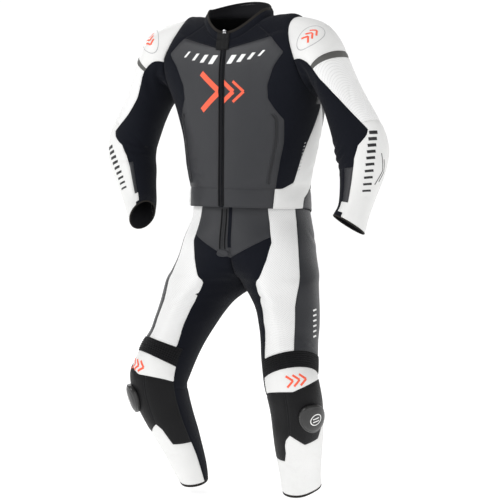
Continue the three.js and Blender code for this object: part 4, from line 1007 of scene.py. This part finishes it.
HARD_COLUMNS = ("name", "colour", "roughness", "scale", "strength", "metallic", "coat")
HARD = {
    "tape": ("reflective_tape", (0.085, 0.085, 0.08), 0.5, 2600.0, 0.5, 0.1, 0.0),
    "plastic": ("slider_plastic", (0.013, 0.013, 0.013), 0.38, 900.0, 0.3, 0.0, 0.15),
    "metal": ("zip_metal", (0.46, 0.46, 0.47), 0.3, 700.0, 0.15, 1.0, 0.0),
    "teeth": ("zip_teeth", (0.012, 0.012, 0.013), 0.45, 900.0, 0.2, 0.2, 0.0),
    "print_white": ("print_white", (0.82, 0.82, 0.81), 0.45, 500.0, 0.08, 0.0, 0.0),
    "print_red": ("print_red", (0.90, 0.115, 0.05), 0.42, 500.0, 0.08, 0.0, 0.0),
    "print_black": ("print_black", (0.008, 0.008, 0.009), 0.45, 500.0, 0.08, 0.0, 0.0),
    "print_grey": ("print_grey", (0.42, 0.42, 0.43), 0.5, 500.0, 0.08, 0.0, 0.0),
}
MATERIALS = {key: leather(name, colour, **rest) for key, (name, colour, rest) in LEATHERS.items()}
MATERIALS.update({key: stretch(name, colour, **rest) for key, (name, colour, rest) in CLOTHS.items()})
MATERIALS.update({key: speckled(**dict(zip(HARD_COLUMNS, values))) for key, values in HARD.items()})


def dress(made, finish, nodes=(), body="suit", lined=False):
    """Gives a piece its materials, the body it rides on and the nodes it stands for."""
    for name in (finish, "lining") if lined else (finish,):
        made.data.materials.append(MATERIALS[name])
    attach(made, body)
    if nodes:
        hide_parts(*nodes)
    return made


# A cut fills at least this share of its box, and at most this one
FILLS = {"least": 0.32, "most": 0.99}
NARROWEST = 0.012


def cut_size(spans, area):
    """The cut's width and length, and its area: a slanting cut's box is drawn in to fit it."""
    width, length = np.maximum(spans, NARROWEST)
    length = np.clip(length, area / (FILLS["most"] * width), area / (FILLS["least"] * width))
    size = (round(float(width), 3), round(float(length), 3))
    return size, float(min(area, round(width, 3) * round(length, 3)))


for garment, parts in ((jacket, ("torso", "sleeve")), (trousers, ("leg",))):
    garment.relief = form_relief(garment) + crease_relief(garment, parts)
collar_rows = (jacket.place[:, ROW] > TORSO_ROW["neck"]) & (np.abs(jacket.position[:, X]) < COLLAR_HALF)
jacket.wall = np.where(collar_rows, COLLAR_WALL, WALL)
trousers.wall = np.full(len(trousers.position), WALL)
ribs = np.isin(np.arange(len(trousers.position)), trousers.corner[trousers.name // 2 == CODE["knee_ribs"]])
trousers.relief += np.where(ribs, rib_relief(trousers), 0)

for garment in (jacket, trousers):
    for code in np.unique(garment.name):
        piece = PIECES[code // 2]
        node = piece if piece in ONE_PIECE else f"{piece}_{SIDES[code % 2]}"
        wall = COLLAR_WALL if piece.startswith("collar") else WALL
        made, spans, area = shell_piece(garment, f"suit_{node}", code, garment.relief, wall)
        dress(made, FINISH[piece], [node], lined=True)
        size, area = cut_size(spans, area)


# What lies on the panels follows their finished outer skin
class Skin:
    """A skin in millimetres, to lay things on."""

    def __init__(self, points, faces):
        self.tree = BVHTree.FromPolygons(points, faces)

    def cast(self, start, way):
        place, normal, _, _ = self.tree.ray_cast(Vector(start), Vector(way))
        return (np.array(place), np.array(normal)) if place else None

    def nearest(self, point):
        place, normal, _, _ = self.tree.find_nearest(Vector(point))
        return np.array(place), np.array(normal)


def outer_skin(garments):
    points = []
    faces = []
    count = 0
    for garment in garments:
        points.append(garment.position + garment.normal * (garment.wall + garment.relief)[:, None])
        faces.append(garment.corner + count)
        count += len(garment.position)
    return Skin(np.concatenate(points).tolist(), np.concatenate(faces).tolist())


def frame_at(part, side, angle, row):
    """Origin, right, up and outward directions of a motif on a sleeve or leg."""
    step = 0.05
    origin = surface_point(part, side, angle, row)
    up = unit(surface_point(part, side, angle, row - step) - origin)
    across = surface_point(part, side, angle + 1, row) - surface_point(part, side, angle - 1, row)
    out = unit(np.cross(across, up))
    middle = surface_point(part, side, angle + 180, row)
    out = out if np.dot(out, origin - middle) > 0 else -out
    return origin, np.cross(up, out), up, out


# The chest's own plane: its origin, right, up and outward directions
FRONT = tuple(np.array(v, float) for v in ((0, -180, 0), (1, 0, 0), (0, 0, 1), (0, -1, 0)))
PRINT = {"thick": 0.35, "lift": 0.12, "cell": 5, "start": 25}


def slab_faces(grid, size, flipped=False):
    """Faces of a sheet of corners, of a second one that lies size places later, and of their rim."""
    corners = (grid[:-1, :-1], grid[:-1, 1:], grid[1:, 1:], grid[1:, :-1])
    low = np.stack([corner.ravel() for corner in corners], 1)
    ring = [*grid[0, :-1], *grid[:-1, -1], *grid[-1, :0:-1], *grid[:0:-1, 0]]
    rim = [(m, n, n + size, m + size) for m, n in zip(ring, ring[1:] + ring[:1])]
    faces = (low + size).tolist() + low[:, ::-1].tolist() + rim
    return [face[::-1] for face in faces] if flipped else faces


def ring_faces(around, rings, base=0, closed=False, flipped=False):
    """Faces between rings of corners that follow one another. Open ends get a lid."""
    ids = base + np.arange(around * rings).reshape(rings, around)
    low, high = (ids, np.roll(ids, -1, axis=0)) if closed else (ids[:-1], ids[1:])
    quads = np.stack([low, np.roll(low, -1, axis=1), np.roll(high, -1, axis=1), high], -1)
    faces = quads.reshape(-1, 4).tolist()
    if not closed:
        faces += [ids[0, ::-1].tolist(), ids[-1].tolist()]
    return [face[::-1] for face in faces] if flipped else faces


def cells(a, b, c, d):
    """How many cells two facing sides, a to b and d to c, are cut into."""
    return max(1, int(np.ceil(max(np.linalg.norm(b - a), np.linalg.norm(c - d)) / PRINT["cell"])))


def printed(skin, name, frame_here, quads, finish):
    """Thin transfers on a panel: each is four corners in the motif's own plane."""
    origin, right, up, out = frame_here
    points = []
    faces = []
    for a, b, c, d in (np.array(quad, float) for quad in quads):
        wide = cells(a, b, c, d)
        tall = cells(a, d, c, b)
        layer = []
        for t in np.linspace(0, 1, tall + 1):
            for s in np.linspace(0, 1, wide + 1):
                u, v = lerp(lerp(a, b, s), lerp(d, c, s), t)
                layer.append(skin.cast(origin + right * u + up * v + out * PRINT["start"], -out))
        if any(found is None for found in layer):
            continue
        grid = np.arange(len(layer)).reshape(tall + 1, wide + 1) + len(points)
        points += [p + n * PRINT["lift"] for p, n in layer]
        points += [p + n * (PRINT["lift"] + PRINT["thick"]) for p, n in layer]
        faces += slab_faces(grid, len(layer))
    return dress(mesh_object(name, points, faces), finish)


def stroke(a, b, thick, slant=0.0):
    """A straight bar from a to b as four corners, its ends cut on a slant."""
    a = np.array(a, float)
    b = np.array(b, float)
    way = unit(b - a)
    side = np.array([-way[1], way[0]]) * thick / 2
    lean = way * slant * thick
    return (a - side - lean, b - side - lean, b + side + lean, a + side + lean)


ZIP_CLEAR = {"half": 8.5, "far": 1e9, "shortest": 2}


def clear_of_zip(quads):
    """Leaves the strip of the zip free: a bar that crosses it is cut in two."""
    kept = []
    half = ZIP_CLEAR["half"]
    far = ZIP_CLEAR["far"]
    for quad in quads:
        a, b, c, d = (np.array(p, float) for p in quad)
        left, right = min(a[0], d[0]), max(b[0], c[0])
        if right < -half or left > half:
            kept.append(quad)
            continue
        for low, high in ((-far, -half), (half, far)):
            ends = []
            for p, q in ((a, b), (d, c)):
                share = np.clip((np.clip(np.array([p[0], q[0]]), low, high) - p[0]) / (q[0] - p[0]), 0, 1)
                ends.append((lerp(p, q, share[0]), lerp(p, q, share[1])))
            (e, f), (h, g) = ends
            if min(np.linalg.norm(f - e), np.linalg.norm(g - h)) > ZIP_CLEAR["shortest"]:
                kept.append((e, f, g, h))
    return kept


def ring_of(radius_across, radius_up, thick, count=28):
    """A plain oval outline of short bars."""
    turns = np.linspace(0, 2 * np.pi, count + 1)
    quads = []
    for t, u in zip(turns, turns[1:]):
        quads.append(tuple(
            np.array([radius_across - r, radius_up - r]) * np.array([math.cos(w), math.sin(w)])
            for w, r in ((t, thick), (t, 0), (u, 0), (u, thick))))
    return quads


# Any direction that no cord runs along, to turn its rings by
TUBE_SIDE = np.array([0.31, 0.87, 0.38])


def tube(name, path, radius, finish, closed=False, around=8):
    """A round cord along points in millimetres."""
    path = np.asarray(path, float)
    ahead = np.roll(path, -1, axis=0) - np.roll(path, 1, axis=0)
    if not closed:
        ahead[0] = path[1] - path[0]
        ahead[-1] = path[-1] - path[-2]
    ahead = unit(ahead)
    side = unit(np.cross(ahead, TUBE_SIDE))[:, None]
    up = np.cross(ahead, side[:, 0])[:, None]
    turns = np.linspace(0, 2 * np.pi, around, endpoint=False)[None, :, None]
    points = (path[:, None] + radius * (side * np.cos(turns) + up * np.sin(turns))).reshape(-1, 3)
    faces = ring_faces(around, len(path), closed=closed, flipped=True)
    return dress(mesh_object(name, points, faces, smooth_angle=80), finish)


def resampled(path, pitch):
    path = np.asarray(path, float)
    lengths = np.concatenate([[0], np.cumsum(np.linalg.norm(np.diff(path, axis=0), axis=1))])
    places = np.arange(pitch / 2, lengths[-1], pitch)
    return np.stack([np.interp(places, lengths, path[:, k]) for k in range(3)], 1)


TOOTH_LEAN = 0.35
TOOTH_RINGS = ((0, 1), (0.7, 1), (1, 0.6))       # height and width, as shares
SQUARE = ((-1, -1), (1, -1), (1, 1), (-1, 1))


def blocks(name, path, pitch, size, finish, skin):
    """A row of small bevelled blocks along a path on the skin, leaning left and right in turn."""
    spots = resampled(path, pitch)
    points = []
    faces = []
    for k, (spot, way) in enumerate(zip(spots, unit(np.gradient(spots, axis=0)))):
        place, out = skin.nearest(spot)
        across = unit(np.cross(way, out))
        middle = place + across * (TOOTH_LEAN if k % 2 else -TOOTH_LEAN) * size[0]
        faces += ring_faces(len(SQUARE), len(TOOTH_RINGS), len(points))
        for high, shrink in TOOTH_RINGS:
            for s, t in SQUARE:
                flat = across * s * size[0] / 2 * shrink + way * t * size[1] / 2 * shrink
                points.append(middle + flat + out * high * size[2])
    return dress(mesh_object(name, points, faces, smooth_angle=20), finish)


STITCH = {"inset": 3.2, "pitch": 4.6, "length": 3.4, "radius": 0.42, "around": 5, "rounds": 2}
SHORT_EDGE = {"corners": 12, "stitches": 4}      # an edge with fewer has no stitching
STITCH_RINGS = ((-0.5, 0.45, -0.5), (-0.25, 1, 0.25), (0.25, 1, 0.25), (0.5, 0.45, -0.5))   # along, wide, out


def edge_loops(pairs):
    """The runs of corners that a piece's open edges make."""
    after = dict(pairs.tolist())
    left = set(after)
    while left:
        start = left.pop()
        loop = [start]
        here = after.get(start)
        while here is not None and here != start and here in left:
            left.discard(here)
            loop.append(here)
            here = after.get(here)
        if len(loop) >= SHORT_EDGE["corners"]:
            yield loop


def stitches(name, garment, pieces, skin, finish):
    """Topstitching a little inside the edges of leather pieces, one capsule a stitch."""
    points = []
    faces = []
    turns = np.linspace(0, 2 * np.pi, STITCH["around"], endpoint=False)
    codes = [code for code in np.unique(garment.name) if PIECES[code // 2] in pieces]
    loops = [loop for code in codes
             for loop in edge_loops(open_pairs(garment.corner[garment.name == code], len(garment.position)))]
    for loop in loops:
        p = garment.position[loop]
        for _ in range(STITCH["rounds"]):
            p = (np.roll(p, 1, axis=0) + 2 * p + np.roll(p, -1, axis=0)) / 4
        way = unit(np.roll(p, -2, axis=0) - np.roll(p, 2, axis=0))
        line = p + unit(np.cross(garment.normal[loop], way)) * STITCH["inset"]
        spots = resampled(np.concatenate([line, line[:1]]), STITCH["pitch"])
        if len(spots) < SHORT_EDGE["stitches"]:
            continue
        for spot, way in zip(spots, unit(np.roll(spots, -1, axis=0) - np.roll(spots, 1, axis=0))):
            place, out = skin.nearest(spot)
            across = np.cross(way, out)
            faces += ring_faces(STITCH["around"], len(STITCH_RINGS), len(points))
            for share, wide, deep in STITCH_RINGS:
                middle = place + way * share * STITCH["length"] + out * deep * STITCH["radius"]
                for t in turns:
                    round_it = across * math.cos(t) + out * math.sin(t)
                    points.append(middle + round_it * STITCH["radius"] * wide)
    return dress(mesh_object(name, points, faces, smooth_angle=80), finish)


skin = outer_skin((jacket, trousers))

# Generic motifs: slanted bars, chevrons and plain rings
CHEST_BARS = {"count": 9, "half": 112, "z": -70, "drop": 16, "tall": (15, 25), "wide": (7, 17), "slant": 7}
quads = []
for k in range(CHEST_BARS["count"]):
    t = 2 * k / (CHEST_BARS["count"] - 1) - 1
    middle = t * CHEST_BARS["half"]
    near = 1 - abs(t)
    wide = lerp(*CHEST_BARS["wide"], near) / 2
    tall = lerp(*CHEST_BARS["tall"], near) / 2
    z = CHEST_BARS["z"] - CHEST_BARS["drop"] * (1 - t * t)
    lean = CHEST_BARS["slant"]
    quads.append(((middle - wide - lean, z - tall), (middle + wide - lean, z - tall),
                  (middle + wide + lean, z + tall), (middle - wide + lean, z + tall)))
printed(skin, "chest_bars", FRONT, clear_of_zip(quads), "print_white")
CHEST_CHEVRONS = {"z": -168, "tip": 0.9, "spread": 0.78}
chevron = []
for shift, reach, thick in ((-62, 62, 15), (-8, 48, 11), (34, 34, 7)):
    tip = (shift + reach * CHEST_CHEVRONS["tip"], CHEST_CHEVRONS["z"])
    for way in (1, -1):
        end = (shift, CHEST_CHEVRONS["z"] + way * reach * CHEST_CHEVRONS["spread"])
        chevron.append(stroke(end, tip, thick))
printed(skin, "chest_chevrons", FRONT, clear_of_zip(chevron), "print_red")

CHEVRON = {"tip": 0.5, "back": 0.4, "spread": 0.8}


def chevrons(count, reach, pitch, thick):
    quads = []
    for k in range(count):
        x = (k - (count - 1) / 2) * pitch
        for way in (1, -1):
            end = (x - reach * CHEVRON["back"], way * reach * CHEVRON["spread"])
            quads.append(stroke(end, (x + reach * CHEVRON["tip"], 0), thick))
    return quads


SPOT_COLUMNS = ("name", "part", "sides", "angle", "row", "quads", "finish")
SPOTS = (
    ("shoulder_chevrons", "sleeve", "both", 52, 1.9, chevrons(3, 15, 15, 5), "print_red"),
    ("shoulder_oval", "sleeve", "both", 52, 1.9, ring_of(44, 27, 1.4), "print_grey"),
    ("forearm_bars", "sleeve", "left", 50, 9.2,
     [stroke((-9, 78 - 17 * k), (13, 84 - 17 * k), 9 - 0.45 * k) for k in range(10)], "print_black"),
    ("forearm_bars", "sleeve", "right", 76, 9.6,
     [stroke((9, 70 - 17 * k), (-13, 76 - 17 * k), 9 - 0.45 * k) for k in range(9)], "print_black"),
    ("forearm_chevron", "sleeve", "both", 8, 9.4,
     [stroke((-13, 42), (2, 0), 2.2), stroke((2, 0), (-13, -42), 2.2),
      stroke((-1, 30), (10, 0), 2.2), stroke((10, 0), (-1, -30), 2.2)], "print_black"),
    ("knee_chevrons", "leg", "both", 30, 11.75, chevrons(3, 18, 17, 5.5), "print_red"),
    ("thigh_bars", "leg", "both", 88, 7.9,
     [stroke((-8, 34 - 14 * k), (8, 41 - 14 * k), 4.5) for k in range(6)], "print_white"),
    ("side_lines", "torso", "both", 76, 3.3,
     [stroke((-2.5, 34 - 9 * k), (2.5, 37 - 9 * k), 2.2) for k in range(9)], "print_grey"),
)
for spot in (dict(zip(SPOT_COLUMNS, values)) for values in SPOTS):
    for side in SIDES if spot["sides"] == "both" else (spot["sides"],):
        here = frame_at(spot["part"], side, spot["angle"], spot["row"])
        printed(skin, f"{spot['name']}_{side}", here, spot["quads"], spot["finish"])

# Zips: teeth between two piped edges on the front, the fly and the pockets
AHEAD = -300             # where a ray that looks for the front starts
ZIPS = {"front": {"top": -36, "bottom": -466}, "fly": {"top": -474, "bottom": -578}}
ZIP_EDGE = {"away": 6.6, "lift": 0.9, "radius": 1.7, "places": 80}
TEETH = {"pitch": 2.6, "zip": (4.2, 1.5, 1.7), "pocket": (3.0, 1.4, 1.2)}
POCKET = {"top": -226, "bottom": -408, "teeth": 14, "lift": 0.5, "radius": 1.5, "places": 40}
POCKET_EDGES = {"inner": 17.5, "outer": 10.5}
SIGN = {"left": 1, "right": -1}


def on_front(x, z):
    return skin.cast((x, AHEAD, z), (0, 1, 0))


for name, ends in ZIPS.items():
    heights = np.linspace(ends["top"], ends["bottom"], ZIP_EDGE["places"])
    found = [on_front(0, z)[0] for z in heights]
    blocks(f"{name}_zip_teeth", found, TEETH["pitch"], TEETH["zip"], "teeth", skin)
    for side, sign in SIGN.items():
        edge = [on_front(sign * ZIP_EDGE["away"], z) for z in heights]
        path = [p + n * ZIP_EDGE["lift"] for p, n in edge]
        tube(f"{name}_zip_edge_{side}", path, ZIP_EDGE["radius"], "black")
for side, sign in SIGN.items():
    heights = np.linspace(POCKET["top"], POCKET["bottom"], POCKET["places"])
    for name, inset in POCKET_EDGES.items():
        edge = [on_front(sign * (at(CHEST_EDGE, z) - inset), z) for z in heights]
        path = [p + n * POCKET["lift"] for p, n in edge]
        tube(f"pocket_edge_{name}_{side}", path, POCKET["radius"], "grey")
    line = [on_front(sign * (at(CHEST_EDGE, z) - POCKET["teeth"]), z)[0] for z in heights]
    blocks(f"pocket_zip_teeth_{side}", line, TEETH["pitch"], TEETH["pocket"], "teeth", skin)

# Piped ends of the sleeves
PIPING = {"places": 72, "out": 0.6, "radius": 2.0}
for side in SIDES:
    turns = np.linspace(0, 360, PIPING["places"], endpoint=False)
    cuff = surface_point("sleeve", side, turns, np.full(PIPING["places"], float(SLEEVE_ROW["cuff"])))
    path = cuff + unit(cuff - cuff.mean(axis=0)) * PIPING["out"]
    tube(f"cuff_piping_{side}", path, PIPING["radius"], "binding", closed=True)

STITCHED_COLUMNS = ("name", "garment", "finish", "pieces")
STITCHED = (
    ("stitching_white_jacket", jacket, "thread_white",
     ("side_white", "shoulder_white", "sleeve_white", "forearm_white")),
    ("stitching_white_trousers", trousers, "thread_white", ("thigh_white", "knee_white", "shin_white")),
    ("stitching_dark_jacket", jacket, "thread_dark",
     ("chest", "front_band", "back_band", "back", "gusset", "yoke")),
    ("stitching_dark_trousers", trousers, "thread_dark",
     ("front_leather", "thigh_side", "seat", "knee_black", "calf_leather")),
)
for values in STITCHED:
    stitches(skin=skin, **dict(zip(STITCHED_COLUMNS, values)))

# Tabs of leather over the zips, in the places of their solids
TAB_COLUMNS = ("name", "node", "width", "shift", "lift", "thick", "finish", "rounded")
TABS = (
    ("zip_garage_tab", "zip_tab", 38, -3.5, 1.2, 2.2, "black", False),
    ("fly_end_tab", "fly_end", 30, 0, 0.7, 2.0, "grey", True),
)
TAB = {"rows": 22, "columns": 20, "power": 2.6, "least": 0.02, "rim": 0.45, "rim_width": 0.14}


def tab_piece(tab, top, bottom):
    """A leather tab on the front: a closed, slightly crowned pad with an eased rim."""
    rows, columns = TAB["rows"], TAB["columns"]
    points = []
    for layer in (0, 1):
        for t in np.linspace(0, 1, rows):
            for s in np.linspace(-1, 1, columns):
                pinch = 1.0
                if tab["rounded"]:
                    pinch = math.sqrt(max(1 - abs(2 * t - 1) ** TAB["power"], TAB["least"]))
                edge = min(1 - abs(s), (0.5 - abs(t - 0.5)) * 2 * rows / columns)
                crown = TAB["rim"] + (1 - TAB["rim"]) * min(1, edge / TAB["rim_width"]) ** 0.5
                p, n = on_front(tab["shift"] + s * tab["width"] / 2 * pinch, lerp(top, bottom, t))
                points.append(p + n * (tab["lift"] + tab["thick"] * crown * layer))
    faces = slab_faces(np.arange(rows * columns).reshape(rows, columns), rows * columns, flipped=True)
    return dress(mesh_object(tab["name"], points, faces, smooth_angle=60), tab["finish"], [tab["node"]])


for tab in (dict(zip(TAB_COLUMNS, values)) for values in TABS):
    low, high = (np.array(corner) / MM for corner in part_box(tab["node"]))
    made = tab_piece(tab, high[2], low[2])


# Hard parts: fine versions of their solids, with rounded edges
WELD = 0.00001           # metres
SHARP = 35               # degrees


def rounded_copy(name, node, finish, body, width, segments=3):
    solid = bpy.data.objects[node]
    made = bpy.data.objects.new(name, solid.data.copy())
    bpy.context.scene.collection.objects.link(made)
    made.data.materials.clear()
    weld = made.modifiers.new("weld", "WELD")
    weld.merge_threshold = WELD
    bevel = made.modifiers.new("rounding", "BEVEL")
    bevel.width = width * MM
    bevel.segments = segments
    bevel.limit_method = "ANGLE"
    bevel.angle_limit = math.radians(SHARP)
    return dress(made, finish, [node], body)


rounded_copy("slider_plate", "zip_slider", "metal", "suit", 0.5)
rounded_copy("slider_pull", "pull_tab", "metal", "pull", 0.35)

PUCK = {"angle": 57, "row": {"left": 13.85, "right": 13.45}, "wide": 74, "tall": 86, "drop": 0.12,
        "around": 72, "clear": 1.1, "step": 0.02}
PUCK_PROFILE = ((0.1, 0), (0.6, 0), (1.0, 0), (1.0, 4), (0.985, 7), (0.95, 9.6), (0.90, 11.2), (0.86, 11.6),
                (0.83, 11.4), (0.80, 12.3), (0.70, 13.6), (0.55, 14.5), (0.35, 15.0), (0.15, 15.2),
                (0.02, 15.25))
PUCK_RING = {"radius": 17, "thick": 2.6}
PUCK_BARS = {"half": 9, "heights": (-5, 4), "thick": 3}


def knee_puck(side):
    """The moulded knee slider: a dome with a stepped rim. Returns its corners and faces."""
    row = PUCK["row"][side]
    middle = np.array(float(PUCK["angle"]))
    centre = leg_point(middle, np.array(row))
    across = np.linalg.norm(leg_point(middle + 1, np.array(row)) - centre)
    down = np.linalg.norm(leg_point(middle, np.array(row + 0.1)) - centre) * 10
    turns = np.linspace(0, 2 * np.pi, PUCK["around"], endpoint=False)
    drop = 1 + PUCK["drop"] * np.cos(turns) ** 3
    mirror = np.array([-1 if side == "right" else 1, 1, 1])
    step = PUCK["step"]
    rings = []
    for reach, high in PUCK_PROFILE:
        angle = middle + PUCK["wide"] / 2 * np.sin(turns) * reach / across
        here = row + PUCK["tall"] / 2 * np.cos(turns) * drop * reach / down
        p = leg_point(angle, here)
        out = unit(np.cross(leg_point(angle, here + step) - p, leg_point(angle + step * 10, here) - p))
        rings.append(pelvis((p + out * (WALL + PUCK["clear"] + high)) * mirror))
    points = np.concatenate(rings)
    faces = ring_faces(PUCK["around"], len(rings), flipped=side == "right")
    made = mesh_object(f"knee_puck_{side}", points, faces, smooth_angle=45)
    dress(made, "plastic", [f"knee_slider_{side}"])
    return points.tolist(), faces


for side in SIDES:
    puck_skin = Skin(*knee_puck(side))
    here = frame_at("leg", side, PUCK["angle"], PUCK["row"][side])
    ring = ring_of(PUCK_RING["radius"], PUCK_RING["radius"], PUCK_RING["thick"])
    bars = [stroke((-PUCK_BARS["half"], high), (PUCK_BARS["half"], high), PUCK_BARS["thick"])
            for high in PUCK_BARS["heights"]]
    printed(puck_skin, f"slider_ring_{side}", here, ring, "print_white")
    printed(puck_skin, f"slider_bar_{side}", here, bars, "print_white")


# The stage: a plain pale floor, soft light and the camera, in metres
FLOOR = {"z": -1.262, "reach": 60, "glow": 0.80, "dark": 0.50, "light": 0.52, "scale": 1.5, "roughness": 0.9}
TARGET = Vector((0, 0.060, -0.592))
CAMERA = {"azimuth": 30, "elevation": 5, "distance": 4.3, "pixel": 0.0027}
SENSOR = 36
PICTURE = 500
LIGHT_COLUMNS = ("name", "place", "size", "watts")
LIGHTS = (
    ("key", (-2.2, -3.4, 2.4), (1.6, 1.6), 84),
    ("fill", (4.2, -2.0, 0.7), (2.4, 2.4), 26),
    ("rim", (-3.2, 2.2, 1.6), (1.6, 2.4), 40),
    ("top", (0.4, 0.2, 3.0), (2.0, 2.0), 26),
)
# The background is bright up to a low height, so that the floor's far edge doesn't show, and dimmer above
SKY = {"heights": (0.24, 0.42), "strengths": (1.06, 0.36)}

paper, tree, shader = new_material("stage_paper", Roughness=FLOOR["roughness"])
tone = noise(tree, add_node(tree, "ShaderNodeTexCoord").outputs["Object"], FLOOR["scale"])
greys = [(FLOOR[key],) * 3 + (1,) for key in ("dark", "light")]
tree.links.new(colour_mix(tree, tone, *greys), shader.inputs["Base Color"])
shader.inputs["Emission Color"].default_value = (1, 1, 1, 1)
shader.inputs["Emission Strength"].default_value = FLOOR["glow"]
corners = [(x * FLOOR["reach"] / MM, y * FLOOR["reach"] / MM, FLOOR["z"] / MM) for x, y in SQUARE]
floor = mesh_object("floor", corners, [(0, 1, 2, 3)])
floor.data.materials.append(paper)

for values in LIGHTS:
    lamp = dict(zip(LIGHT_COLUMNS, values))
    light = bpy.data.lights.new(lamp["name"], "AREA")
    light.shape = "RECTANGLE"
    light.size, light.size_y = lamp["size"]
    light.energy = lamp["watts"]
    made = bpy.data.objects.new(lamp["name"], light)
    made.location = lamp["place"]
    made.rotation_euler = (TARGET - Vector(lamp["place"])).to_track_quat("-Z", "Y").to_euler()
    bpy.context.scene.collection.objects.link(made)

world = bpy.data.worlds.new("studio")
bpy.context.scene.world = world
world.use_nodes = True
sky = world.node_tree
where = add_node(sky, "ShaderNodeTexCoord").outputs["Generated"]
height = add_node(sky, "ShaderNodeSeparateXYZ", (("Vector", where),)).outputs["Z"]
background = sky.nodes["Background"]
background.inputs["Color"].default_value = (1, 1, 1, 1)
sky.links.new(mapped(sky, height, SKY["heights"], SKY["strengths"]), background.inputs["Strength"])
bpy.context.scene.view_settings.view_transform = "Standard"

azimuth = math.radians(CAMERA["azimuth"])
elevation = math.radians(CAMERA["elevation"])
offset = Vector((
    math.sin(azimuth) * math.cos(elevation), -math.cos(azimuth) * math.cos(elevation), math.sin(elevation),
)) * CAMERA["distance"]
lens = bpy.data.cameras.new("camera")
lens.sensor_width = SENSOR
lens.lens = SENSOR * CAMERA["distance"] / (PICTURE * CAMERA["pixel"])
camera = bpy.data.objects.new("camera", lens)
camera.location = TARGET + offset
camera.rotation_euler = (-offset).to_track_quat("-Z", "Y").to_euler()
bpy.context.scene.collection.objects.link(camera)
bpy.context.scene.camera = camera
